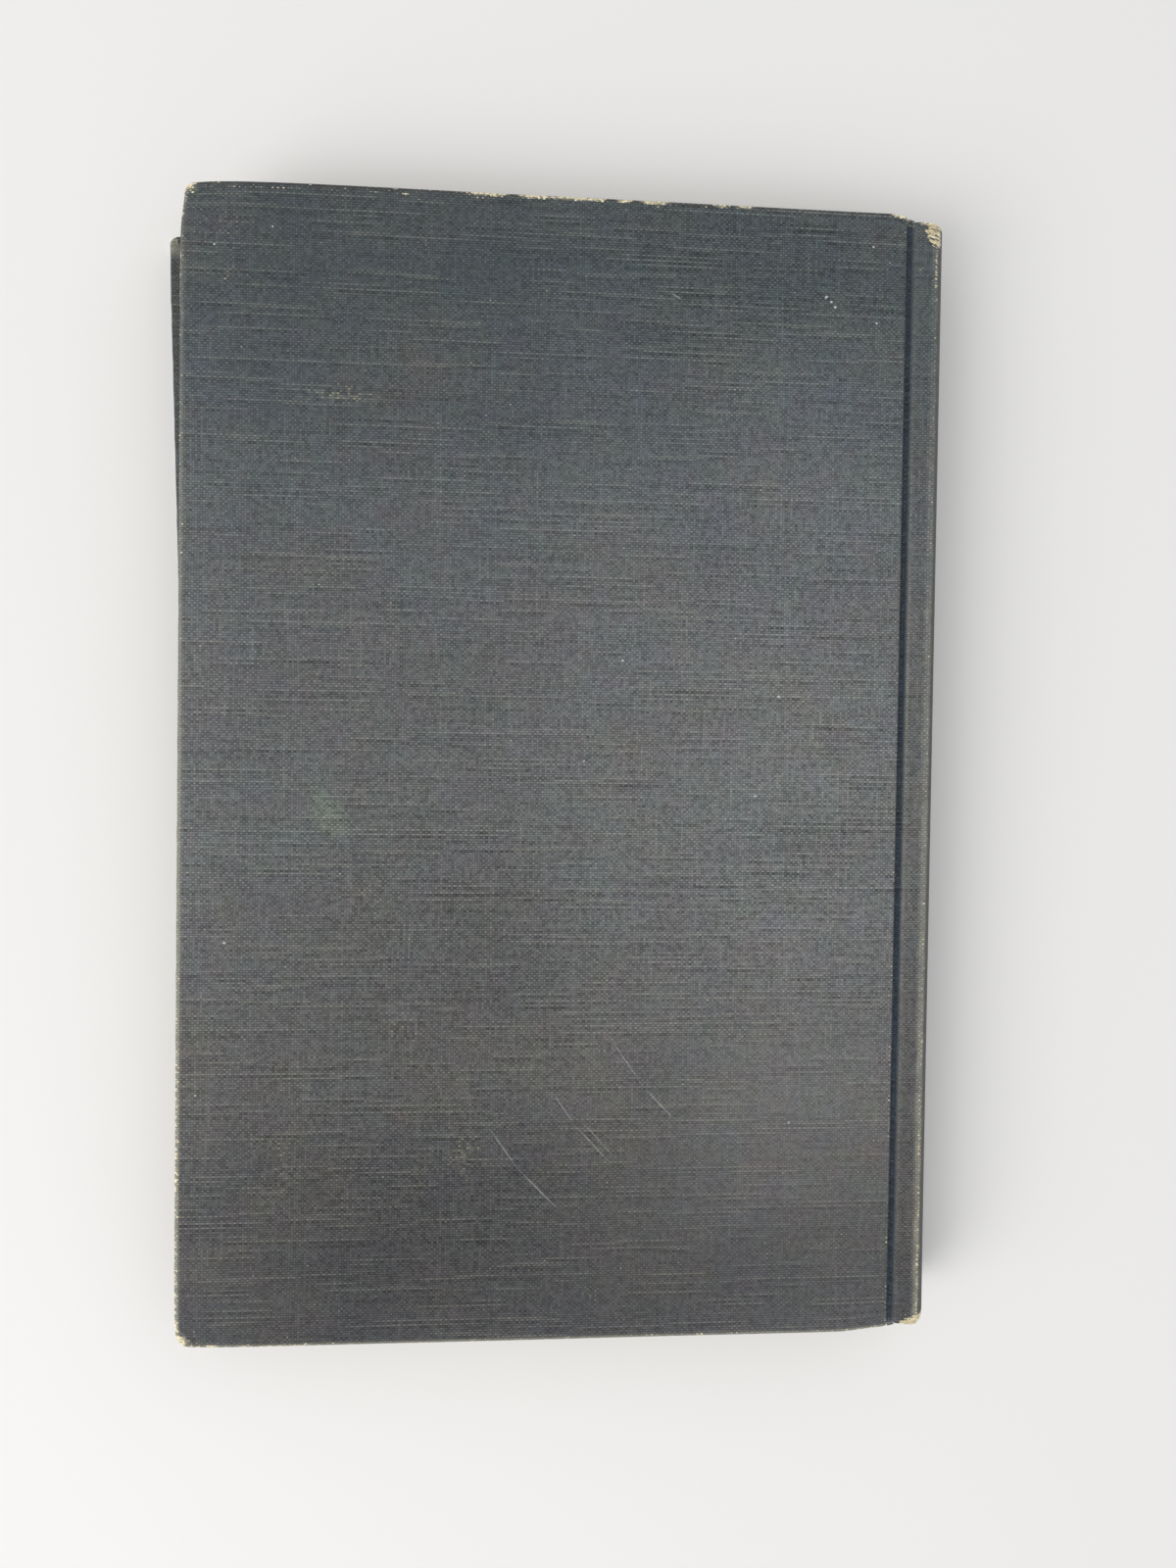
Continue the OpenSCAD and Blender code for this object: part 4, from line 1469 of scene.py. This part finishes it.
@dataclass
class SpineCloth:
    """Cloth over the shoulders and the round back, frayed at its head and rubbed on its ridge."""

    form: BookForm
    material: bpy.types.Material
    finger_pitch: float = 1.2
    tick_pitch: float = 0.64
    swell: float = 0.35
    turned_in: float = 4.0
    hem_depth: float = 0.8

    def half_curve(self) -> Array:
        """Outside of the section from the foot of the back shoulder's wall to mid-thickness."""
        form = self.form
        r = form.edge_r
        centre_z = form.half_t - r
        ridge_x = form.arc_x + math.sqrt((form.back_r - r) ** 2 - centre_z ** 2)
        round_end = math.asin(centre_z / (form.back_r - r))
        corner_a, ridge_a = np.linspace(0, math.pi / 2, 6), np.linspace(0, math.pi / 2 - round_end, 5)
        back_a = np.linspace(round_end, 0, 22)[1:]
        wall = [(form.wall_x, z) for z in np.linspace(form.floor_z - form.half_t, centre_z, 6)[:-1]]
        corner = [(form.wall_x + r - r * math.cos(a), centre_z + r * math.sin(a)) for a in corner_a]
        flat = [(x, form.half_t) for x in np.linspace(form.wall_x + r, ridge_x, 20)[1:-1]]
        ridge = [(ridge_x + r * math.sin(a), centre_z + r * math.cos(a)) for a in ridge_a]
        back = [(form.arc_x + form.back_r * math.cos(a), form.back_r * math.sin(a)) for a in back_a]
        return np.array(wall + corner + flat + ridge + back)

    def curve(self) -> tuple[Array, Array]:
        """The whole section and the distance along it.

        Returns:
            Points as rows of x, z, and each one's place along the cloth, which goes on from
            the back cover's.
        """
        half = self.half_curve()
        whole = np.vstack([half, (half * [1, -1])[-2::-1]]) + [0, self.form.half_t]
        return whole, self.form.wall_x + 2.0 + lengths_along(whole)

    def dip(self, x: Array, z: Array) -> Array:
        """How far the worn end of the spine falls short of the covers at a place of its section.

        Args:
            x: Places across the section.
            z: Levels.

        Returns:
            The shortfall, in millimetres.
        """
        form = self.form
        top, floor = form.half_t - form.edge_r, form.floor_z - form.half_t
        down_wall = np.clip((top - np.abs(z - form.half_t)) / (top - floor), 0, 1)
        down_wall = down_wall * (x < form.wall_x + form.edge_r)
        on_ridge = np.clip((x - form.ridge_x + form.dip_w) / form.dip_w, 0, 1)
        return form.cap_dip - form.groove_rise * down_wall + form.ridge_dip * on_ridge

    def frayed_end(self, from_ridge: Array, us: Array) -> Array:
        """Extra wear of the cloth's head end along its section, in millimetres."""
        ragged = 0.5 + 0.5 * np.sin(us * 9.0) * np.sin(us * 3.7 + 0.8)
        return bell(from_ridge - 0.4, 1.2) * (0.05 + 0.35 * ragged)

    def shaped(self, flat: Array, section: Array, column: Array, ridge_u: float) -> Array:
        """Bends the flat sheet over the spine and turns its ends in.

        Args:
            flat: The flat sheet's points.
            section: The section's points.
            column: The section's point that each point of the sheet lies on.
            ridge_u: Place of the ridge on the flat sheet.

        Returns:
            Points of the straight book.
        """
        form = self.form
        half = form.cover_h / 2
        x, z = section[column].T
        normal = np.gradient(section, axis=0)[column]
        normal = np.column_stack([normal[:, 1], -normal[:, 0]]) / np.hypot(*normal.T)[:, None]
        end, reach = np.sign(flat[:, 1]), np.abs(flat[:, 1])
        short = self.dip(x, z) + np.where(end > 0, self.frayed_end(flat[:, 0] - ridge_u, flat[:, 0]), 0.0)
        beyond = np.maximum(reach - half, 0)
        on_back = smooth((x - form.ridge_x + 1) / 2)
        depth = np.clip(beyond / self.hem_depth, 0, 1) * (0.8 + 0.58 * on_back)
        share = np.clip(reach - half + 12, 0, 12) / 12
        y = end * (np.minimum(reach, half) - short * share - np.maximum(beyond - self.hem_depth, 0))
        bent = np.column_stack([x, z]) + normal * depth[:, None]
        return np.column_stack([bent[:, 0] + self.swell * on_back, y, bent[:, 1]])

    def wear_of(self, at: SpinePlaces) -> Array:
        """How far the cloth is worn: along the ridge, in ticks and a fringe at the head, and at the ends.

        Args:
            at: Where the points lie.

        Returns:
            The wear.
        """
        ridge = np.interp(
            at.from_tail, (0, 6, 15, 60, 90, 150, 200, 223), (0.74, 0.64, 0.58, 0.46, 0.28, 0.22, 0.34, 0.38),
        )
        ridge = bell(at.inside - 0.7, 0.5) * ridge
        dashes = np.sin(math.pi * at.from_head / self.tick_pitch + 0.8 * np.sin(at.from_head * 1.3)) ** 2
        ticks = 0.74 * bell(at.inside - 0.7, 0.55) * smooth((24 - at.from_head) / 12) * (0.35 + 0.65 * dashes)
        finger = math.pi * at.from_head / self.finger_pitch + 0.5 * np.sin(at.from_head * 2.1)
        finger = np.abs(np.sin(finger))
        reach = np.interp(at.from_head, (0, 1.5, 3.2, 4.2, 5.0), (3.3, 3.1, 2.8, 2.3, 1.0))
        reach = reach * (0.34 + 0.66 * finger)
        fringe = (0.30 + 0.68 * finger) * smooth((reach - at.inside) / 1.0 + 0.4)
        fringe = fringe * smooth((at.inside + 1.2) / 0.8) * smooth((5.6 - at.from_head) / 0.8)
        cap = 0.90 * bell(at.from_head, 0.8) * smooth((at.up_back_wall - 2.2) / 2)
        foot = 1.15 * bell(at.from_tail, 1.0) * smooth((at.up_back_wall - 3.0) / 2)
        curl = 1.6 * np.exp(-((at.inside - 0.8) / 2.6) ** 2 - (at.from_tail / 1.5) ** 2)
        return np.maximum.reduce([ridge, ticks, fringe, cap, foot, curl])

    def polish_and_highlight_of(self, at: SpinePlaces) -> Array:
        """How far the dye is rubbed pale along the ridge, and along the groove's lip, where it is also a
        painted highlight.
        """
        flicker = 0.78 + 0.22 * np.sin(at.from_tail * 2.9) * np.sin(at.from_tail * 7.3 + 1)
        stripe = np.interp(at.from_tail, (0, 20, 60, 111, 150, 223), (1.0, 0.85, 0.75, 0.50, 0.30, 0.18))
        stripe = stripe * flicker * bell(at.inside - 0.8 + 0.15 * np.sin(at.from_tail * 1.7), 0.6)
        # Rubbing and painted highlight: the groove's lip drawn paler.
        lip = np.interp(at.from_tail, (0, 40, 110, 170, 223), (0.04, 0.08, 0.15, 0.10, 0.03))
        return np.maximum(stripe, lip * bell(at.up_back_wall - 2.1, 0.45))

    def soil_and_shade_of(self, at: SpinePlaces) -> Array:
        """How dark the cloth is drawn: painted shade on the round back all over, and the shoulder darker,
        least at the head.

        Args:
            at: Where the points lie.

        Returns:
            How dark it is drawn.
        """
        # Painted shade: the round back, which faces away from the light, drawn dark.
        round_back = 0.95 * smooth((0.30 - at.inside) / 0.5) * smooth((at.up_front_wall - 2) / 2)
        darkening = np.interp(
            at.from_tail, (0, 20, 45, 80, 111, 150, 223), (0.26, 0.34, 0.42, 0.40, 0.32, 0.30, 0.14),
        )
        darkening = darkening * smooth((at.inside - 1.3) / 0.8) * smooth((at.up_back_wall - 1.6) / 0.8)
        return np.maximum(round_back, darkening)

    def fade_and_back_shade_of(self, at: SpinePlaces, level: Array) -> Array:
        """How faded the cloth is: hardly in the grooves, fully on the shoulders, and less on the round back,
        which is painted shade.
        """
        up_wall = smooth((at.up_back_wall - 0.9) / 1.2) * smooth((at.up_front_wall - 0.9) / 1.2)
        # Painted shade: the round back kept darker, as it faces away from the light.
        back_shade_share = smooth((self.form.half_t - 0.9 - np.abs(level - self.form.half_t)) / 1.6)
        return 0.05 + up_wall * (0.95 - 0.60 * back_shade_share)

    def build(self) -> bpy.types.Object:
        """Makes the spine's cloth and lets it ride on the pages.

        Returns:
            The finished piece, which replaces the plain spine cloth.
        """
        form = self.form
        half = form.cover_h / 2
        section, us = self.curve()
        vs = stations(
            (-half - self.turned_in, -half, 6), (-half, -half + 6, 16), (-half + 6, half - 14, 80),
            (half - 14, half, 130), (half, half + self.turned_in, 6),
        )
        piece = flat_sheet("spine_case_cloth", us, vs)
        flat = coordinates(piece)
        column = columns_of(flat, us)
        ridge_u = us[np.searchsorted(section[:len(section) // 2, 0], form.ridge_x)]
        at = SpinePlaces(
            from_head=half - flat[:, 1], from_tail=half + flat[:, 1],
            inside=ridge_u + form.edge_r - flat[:, 0],
            up_back_wall=flat[:, 0] - us[0], up_front_wall=us[-1] - flat[:, 0],
        )
        set_attribute(piece, "wear", self.wear_of(at))
        set_attribute(piece, "polish", self.polish_and_highlight_of(at))
        set_attribute(piece, "soil_and_shade", self.soil_and_shade_of(at))
        set_attribute(piece, "calm", np.ones(len(flat)))
        set_attribute(piece, "fade", self.fade_and_back_shade_of(at, section[column, 1]))
        set_coordinates(piece, form.placed(form.leaned(self.shaped(flat, section, column, ridge_u))))
        thicken(piece, 0.95 * form.cloth_t)
        piece = join([piece, *FrayedThreads(form).build()], "spine_case_cloth")
        finish(piece, self.material, 50)
        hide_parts("spine_cloth")
        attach(piece, "text_block")
        return piece


@dataclass
class JointCloth:
    """Unfaded cloth in one groove."""

    form: BookForm
    side: Side
    material: bpy.types.Material
    wall_top: float = 1.5
    corner_r: float = 0.35

    def build(self) -> bpy.types.Object:
        """Makes the strip in the groove between the pages and the cover.

        Returns:
            The finished strip.
        """
        form = self.form
        r, w = self.corner_r, form.wall_x - 0.01
        floor, top = form.floor_z + 0.01, form.floor_z + self.wall_top
        left = [(-w, z) for z in np.linspace(top, floor + r, 5)]
        angles = np.linspace(0, math.pi / 2, 5)[1:]
        turn = [(-w + r - r * math.cos(a), floor + r - r * math.sin(a)) for a in angles]
        middle = [(x, floor) for x in np.linspace(-w + r, w - r, 17)[1:-1]]
        half = np.array(left + turn)
        section = np.vstack([half, middle, (half * [-1, 1])[::-1]])
        us = -form.wall_x + form.edge_r + lengths_along(section)
        half_h = form.cover_h / 2 - 0.05
        vs = stations((-half_h, half_h, 70))
        piece = flat_sheet(f"{self.side.value}_joint_cloth", us, vs)
        flat = coordinates(piece)
        column = columns_of(flat, us)
        points = np.column_stack([section[column, 0], flat[:, 1], section[column, 1]])
        up_wall = (points[:, 2] - floor) / self.wall_top
        cover_end = np.where(points[:, 1] > 0, form.head_bump_d, form.tail_bump_d) + 0.2
        short = 0.1 + up_wall * np.where(points[:, 0] > 0, form.cap_dip - 0.3, cover_end)
        points[:, 1] -= np.sign(points[:, 1]) * short * smooth((np.abs(points[:, 1]) - half_h + 8) / 8)
        end_wear = np.where(flat[:, 1] > 0, 0.60, 0.45)
        set_attribute(piece, "wear", end_wear * bell(form.cover_h / 2 - np.abs(flat[:, 1]), 0.8))
        set_attribute(piece, "fade", np.full(len(flat), 0.06))
        set_coordinates(piece, form.placed(form.to_side(points, self.side)))
        thicken(piece, 0.9 * form.cloth_t, self.side)
        finish(piece, self.material, 50)
        start = form.spot(0.45, 0, form.floor_z, self.side)
        end = form.spot(-0.45, 0, form.floor_z, self.side)
        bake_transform(piece)
        return piece


@dataclass
class EndpaperFold:
    """Fold of one endpaper, which joins its pasted half to its free half."""

    form: BookForm
    side: Side
    material: bpy.types.Material
    fold_x: float = 0.75
    drawn_t: float = 0.05

    def build(self) -> bpy.types.Object:
        """Makes the fold, which lies between the pages and the cover.

        Returns:
            The finished fold.
        """
        form = self.form
        paste_z = form.under_z + form.cloth_t - form.endpaper_t - 0.03
        leaf_z = form.book_t - form.cover_t - 0.15 + 0.02
        r = (paste_z - leaf_z) / 2
        angles = np.linspace(0, math.pi, 21)[1:]
        leaf = [(x, leaf_z) for x in (-1.0, 0.0, self.fold_x)]
        turn = [(self.fold_x + r * math.sin(a), leaf_z + r - r * math.cos(a)) for a in angles]
        pasted = [(x, paste_z) for x in (0.0, -1.0, -2.2)]
        section = np.array(leaf + turn + pasted)
        us = lengths_along(section)
        half_h = form.page_h / 2 - 0.2
        piece = flat_sheet(f"{self.side.value}_endpaper_fold", us, stations((-half_h, half_h, 24)))
        flat = coordinates(piece)
        column = columns_of(flat, us)
        points = np.column_stack([section[column, 0], flat[:, 1], section[column, 1]])
        set_coordinates(piece, form.placed(form.to_side(points, self.side)))
        thicken(piece, self.drawn_t, self.side)
        finish(piece, self.material, 60)
        start = form.spot(self.fold_x, 0, leaf_z + 0.2 * r, self.side)
        end = form.spot(self.fold_x, 0, paste_z - 0.2 * r, self.side)
        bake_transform(piece)
        return piece


@dataclass
class LeafBlock:
    """The sewn leaves, each a thin sheet with its back bent out into the shoulders."""

    form: BookForm
    material: bpy.types.Material
    leaves: int = 110
    section_leaves: int = 8
    leaf_share: float = 0.8
    seed: int = 7

    def leaf(self, index: int, section_shift: float, rng: np.random.Generator) -> bpy.types.Object:
        """Makes one leaf.

        Args:
            index: Number of the leaf, from the front.
            section_shift: How far the leaf's folded section stands back at the fore edge.
            rng: Source of the small differences between leaves.

        Returns:
            The leaf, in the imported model's frame.
        """
        form = self.form
        share = (2 * (index + 0.5) / self.leaves - 1) * 0.998
        page_r = form.back_r - form.page_d
        top_z = form.half_t - form.page_shoulder_d - 0.1
        end_x = form.arc_x + math.sqrt(page_r ** 2 - (share * top_z) ** 2)
        jitter = rng.normal(0, 0.05, 3) + (rng.random(3) < 0.06) * rng.normal(0, 0.15, 3)
        fore_x = form.fore_x + form.square + form.fore_hollow * (1 - share ** 2)
        fore_x += abs(jitter[0]) + section_shift
        us = stations((fore_x, -1.5, 4), (-1.5, 2.6, 6), (2.6, max(end_x, 2.7), 2))
        half_h = form.page_h / 2
        vs = stations((-half_h + abs(jitter[1]), half_h - abs(jitter[2]), 6))
        piece = flat_sheet("leaf", us, vs)
        flat = coordinates(piece)
        flare = smooth((flat[:, 0] - 1.25) / 1.0)
        z = form.half_t + share * (form.pages_t / 2 + (top_z - form.pages_t / 2) * flare)
        points = np.column_stack([np.minimum(flat[:, 0], end_x), flat[:, 1], z])
        set_coordinates(piece, form.placed(form.leaned(points)))
        # Painted shade: leaves of sections that stand back at the fore edge are drawn darker; the rest of the
        # tone differs at random.
        tone = 0.5 + rng.normal(0, 0.18) + 1.5 * section_shift
        set_attribute(piece, "leaf", np.full(len(points), tone))
        return piece

    def build(self) -> bpy.types.Object:
        """Makes the block of leaves.

        Returns:
            The finished piece, which replaces the plain pages.
        """
        rng = np.random.default_rng(self.seed)
        shifts = np.abs(rng.normal(0, 0.12, self.leaves // self.section_leaves + 1))
        leaves = [self.leaf(i, float(shifts[i // self.section_leaves]), rng) for i in range(self.leaves)]
        piece = join(leaves, "leaf_block")
        thicken(piece, self.leaf_share * self.form.pages_t / self.leaves)
        finish(piece, self.material, 30)
        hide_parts("pages")
        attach(piece, "text_block")
        return piece


@dataclass(frozen=True)
class Lamp:
    """One soft area light, which faces the middle of the book: its place and size in metres."""

    name: str
    place: tuple[float, float, float]
    size: float
    power: float


@dataclass(frozen=True)
class Studio:
    """Pale floor, soft light and the camera at the photograph's angle."""

    form: BookForm
    focal_px: float = 1202.0
    long_side_px: float = 1600.0
    sensor_mm: float = 36.0
    camera_mm: tuple[float, float, float] = (-81.25, 3.1, 229.4)
    camera_turn_deg: tuple[float, float, float] = (1.27, -4.62, 0.72)
    lamps: tuple[Lamp, ...] = (
        Lamp("window", (-0.8, -0.5, 0.8), 0.9, 8.5), Lamp("fill", (0.5, 0.6, 1.0), 1.2, 1.6),
    )
    floor_m: float = 6.0
    floor_z: float = -0.00002
    fade_from: float = 0.22
    fade_to: float = 0.75
    paper: str = "F8F6F3"
    backdrop: str = "F1F0EE"
    daylight: str = "F2F4F7"
    daylight_power: float = 0.62

    def floor_material(self) -> bpy.types.Material:
        """Matt pale backdrop paper, which runs into the backdrop's tone away from the book."""
        material, nodes = new_material("matt_backdrop_paper")
        shader = nodes.add("ShaderNodeBsdfDiffuse", {0: linear(self.paper)})
        far = nodes.add("ShaderNodeEmission", {0: linear(self.backdrop), 1: 1.0})
        place = nodes.add("ShaderNodeTexCoord").outputs["Object"]
        reach = nodes.add("ShaderNodeVectorMath", {0: place}, operation="LENGTH").outputs["Value"]
        fade = nodes.add("ShaderNodeMapRange", {
            0: reach, 1: self.fade_from, 2: self.fade_to, 3: 0.0, 4: 1.0,
        }, interpolation_type="SMOOTHSTEP")
        share = nodes.times(fade, self.seen(nodes))
        nodes.output(nodes.add("ShaderNodeMixShader", {0: share, 1: shader, 2: far}))
        return material

    def seen(self, nodes: Nodes) -> bpy.types.Node:
        """Is 1 for rays that show the backdrop, straight or in a gloss or glass, and 0 for light."""
        ray = nodes.add("ShaderNodeLightPath")
        direct = nodes.number("MAXIMUM", ray.outputs["Is Camera Ray"], ray.outputs["Is Glossy Ray"])
        return nodes.number("MAXIMUM", direct, ray.outputs["Is Transmission Ray"])

    def light(self) -> None:
        """Makes the soft daylight all round, the window's light and its fill."""
        world = bpy.data.worlds.new("soft_daylight")
        bpy.context.scene.world = world
        world.use_nodes = True
        world.node_tree.nodes.clear()
        nodes = Nodes(world.node_tree)
        sky = nodes.add("ShaderNodeBackground", {0: linear(self.daylight), 1: self.daylight_power})
        backdrop = nodes.add("ShaderNodeBackground", {0: linear(self.backdrop), 1: 1.0})
        mixed = nodes.add("ShaderNodeMixShader", {0: self.seen(nodes), 1: sky, 2: backdrop})
        nodes.add("ShaderNodeOutputWorld", {0: mixed})
        for lamp in self.lamps:
            bpy.ops.object.light_add(type="AREA", location=lamp.place)
            made = bpy.context.object
            made.name = lamp.name
            made.data.size = lamp.size
            made.data.energy = lamp.power
            made.rotation_euler = Vector(lamp.place).to_track_quat("Z", "Y").to_euler()

    def camera(self) -> None:
        """Makes the camera, whose place counts from the groove's middle on the back cover's face."""
        turn = Vector([math.radians(a) for a in self.camera_turn_deg])
        photo_turn = Matrix.Rotation(turn.length, 3, turn.normalized())
        upright = Matrix.Diagonal((1, -1, -1))
        camera = bpy.data.cameras.new("camera")
        camera.sensor_width = self.sensor_mm
        camera.lens = self.sensor_mm * self.focal_px / self.long_side_px
        eye = bpy.data.objects.new("camera", camera)
        bpy.context.scene.collection.objects.link(eye)
        x, y, above = self.camera_mm
        place = self.form.spot(x, y, self.form.book_t + above)
        eye.matrix_world = Matrix.Translation(place) @ (upright @ photo_turn.transposed() @ upright).to_4x4()
        bpy.context.scene.camera = eye

    def build(self) -> None:
        """Makes the floor, the lights and the camera."""
        deselect()
        bpy.ops.mesh.primitive_plane_add(size=self.floor_m, location=(0, 0, self.floor_z))
        floor = bpy.context.object
        floor.name = "floor"
        floor.data.materials.append(self.floor_material())
        self.light()
        self.camera()
        bpy.context.scene.view_settings.view_transform = "Standard"


def dress_node(name: str, material: bpy.types.Material) -> None:
    """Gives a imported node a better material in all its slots."""
    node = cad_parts[name]
    if not node.material_slots:
        node.data.materials.append(material)
    for place in node.material_slots:
        place.material = material


def back_cover_marks() -> ClothMarks:
    """The marks on the back cover, placed after the photograph."""
    return ClothMarks(
        scratches=(
            Mark(-78.5, -73.2, 10.6, 0.30, -55.1), Mark(-71.4, -81.6, 12.6, 0.32, -45.3),
            Mark(-66.7, -65.6, 8.4, 0.24, -55.3), Mark(-60.8, -72.8, 11.2, 0.26, -46.6),
            Mark(-59.6, -72.0, 9.7, 0.24, -48.2), Mark(-54.3, -56.6, 13.0, 0.26, -55.4),
            Mark(-47.6, -65.0, 9.6, 0.32, -46.6), Mark(-46.6, 93.3, 2.6, 0.5, -30.0),
        ),
        flecks=(
            Mark(-16.9, 94.5, 0.9, 0.5, 40.0), Mark(-15.9, 93.6, 0.7, 0.5), Mark(-15.1, 92.6, 0.7, 0.6),
            Mark(-7.6, 104.7, 0.5, 0.45), Mark(-6.7, 89.8, 0.6, 0.45), Mark(-132.1, -33.1, 0.6, 0.5),
            Mark(-56.2, 22.3, 0.6, 0.5), Mark(-29.5, -3.9, 0.7, 0.45, 30.0), Mark(-25.1, 15.8, 0.8, 0.6),
            Mark(-134.8, 99.2, 0.5, 0.5), Mark(-124.0, 103.0, 0.4, 0.4),
        ),
        thin_patches=(
            Mark(-112.4, 71.9, 21.0, 5.0, 0.0, 0.8, 1.05), Mark(-94.7, 72.9, 4.0, 3.0, 0.0, 0.8, 0.8),
            Mark(-121.3, -74.4, 9.0, 16.0, 0.0, 1.0, 0.8), Mark(-86.0, -76.0, 17.0, 16.0, 0.0, 1.0, 0.8),
            Mark(-100.0, -50.0, 12.0, 10.0, 0.0, 1.0, 0.7), Mark(-131.0, 104.0, 20.0, 12.0, 20.0, 1.0, 0.45),
        ),
        green_stains=(Mark(-112.6, -8.0, 14.0, 9.0, -50.0, 1.0),),
        pale_smudges=(
            Mark(-99.1, -46.0, 9.0, 6.0, 60.0, 0.9), Mark(-110.0, -12.0, 6.0, 3.5, -20.0, 0.8),
            Mark(-15.0, -68.0, 54.0, 56.0, 0.0, 1.0, 0.9), Mark(-136.0, -100.0, 26.0, 34.0, 0.0, 1.0, 0.8),
        ),
        # Painted shade: broad patches where the back cover is drawn darker, as the light falls off across it.
        painted_shade_patches=(
            Mark(-88.0, -85.0, 116.0, 62.0, 0.0, 0.8, 1.9), Mark(-24.0, 101.0, 90.0, 58.0, 0.0, 0.9, 1.6),
            Mark(-14.0, -14.0, 56.0, 30.0, 0.0, 0.9, 1.1), Mark(-88.0, -34.0, 84.0, 66.0, 0.0, 0.9, 0.9),
            Mark(-22.0, 38.0, 62.0, 44.0, 0.0, 0.9, 0.8), Mark(-50.0, 88.0, 30.0, 26.0, 0.0, 0.9, 0.8),
            Mark(-46.0, -104.0, 72.0, 34.0, 0.0, 0.9, 0.9), Mark(-50.0, -62.0, 26.0, 24.0, 0.0, 0.9, 0.9),
        ),
        smoothed=(Mark(-30.0, -80.0, 110.0, 90.0, 0.0, 0.6),),
    )


def spine_marks() -> ClothMarks:
    """The two thin places on the back shoulder."""
    return ClothMarks(thin_patches=(
        Mark(5.9, 100.9, 3.2, 2.0, 0.0, 0.9), Mark(8.7, 33.1, 3.2, 1.8, 0.0, 0.9),
    ))


def cover_wear(side: Side) -> WornEdges:
    """The worn edges of a cover, on the back one placed after the photograph.

    Args:
        side: The cover.

    Returns:
        Its worn edges.
    """
    if side is Side.FRONT:
        return WornEdges(
            head_rubs=((20, 34), (90, 99)), tail_rubs=((40, 60),), fore_rub=(60, 111), inner_corner=0.5,
        )
    return WornEdges(
        head_rubs=(
            (55.0, 56.1), (58.0, 60.4), (64.2, 64.9), (66.4, 69.5), (71.2, 74.6), (75.1, 79.1),
            (83.1, 84.1), (87.1, 92.3), (102.1, 103.9), (106.2, 109.1), (137.5, 140.3),
        ),
        tail_rubs=((2, 26), (130, 140)),
        fore_rub=(-111, -70),
        fore_cracks=((94.4, 97.2, 1.0), (87.9, 94.4, 0.66)),
    )


def endpaper_of(form: BookForm, side: Side) -> bpy.types.Material:
    """Aged endpaper of one side, foxed and browned from the edges of its own sheet."""
    corner = form.spot(form.fore_x + form.square, 0, form.half_t, side)
    turn = form.lean_deg if side is Side.FRONT else 0.0
    sheet = SheetPlace(corner, turn, form.page_h / 2 * MM)
    # Smooth cream paper with rare rust spots, brown at its edges
    return PlainPaper("DED2B6", "B1935F", 0.30, foxed=0.55, sheet=sheet).build(f"aged_endpaper_{side.value}")


def main() -> None:
    """Builds the book's looks piece by piece."""
    logging.basicConfig(level=logging.INFO, format="%(name)s: %(message)s")
    form = BookForm()
    Studio(form).build()
    cloth = LinenBookCloth().build("linen_book_cloth")
    marked_cloth = LinenBookCloth(marks=back_cover_marks()).build("linen_book_cloth_marked")
    # Cream book paper gone brown, some leaves lighter than others, with painted shade on sections that stand
    # back
    leaf_paper = PlainPaper("CDBD98", "B0956A", 0.35, layered=0.28).build("aged_book_paper")
    # Coarse straw-brown board, mottled and matt
    strawboard = PlainPaper("A88C62", "86683F", 0.6).build("strawboard")
    # Off-white gauze, stiff with starch
    gauze = PlainPaper("CFC3A4", "A8946A", 0.4).build("starched_gauze")
    # Plain brown wrapping paper
    kraft = PlainPaper("8E6C42", "6E4F2C", 0.5).build("kraft_lining_paper")
    # Ecru cotton thread, with painted shade in stripes across its windings
    cotton = PlainPaper("C9BB98", "8E7A55", 0.5, layered=0.3).build("cotton_band")
    end_papers = {side: endpaper_of(form, side) for side in Side}
    for side in Side:
        for name in ("pastedown", "flyleaf"):
            dress_node(f"{side.value}_{name}", end_papers[side])
    for name, material in (("spine_inlay", strawboard), ("mull", gauze), ("spine_lining", kraft)):
        dress_node(name, material)

    CoverCloth(form, Side.BACK, cover_wear(Side.BACK), marked_cloth).build()
    CoverCloth(form, Side.FRONT, cover_wear(Side.FRONT), cloth).build()
    SpineCloth(form, LinenBookCloth(marks=spine_marks()).build("linen_book_cloth_spine")).build()
    for side in Side:
        CoverBoard(form, side, strawboard).build()
        JointCloth(form, side, cloth).build()
        EndpaperFold(form, side, end_papers[side]).build()
    for end in End:
        EndBand(form, end, cotton).build()
    LeafBlock(form, leaf_paper).build()


if __name__ == "__main__":
    main()
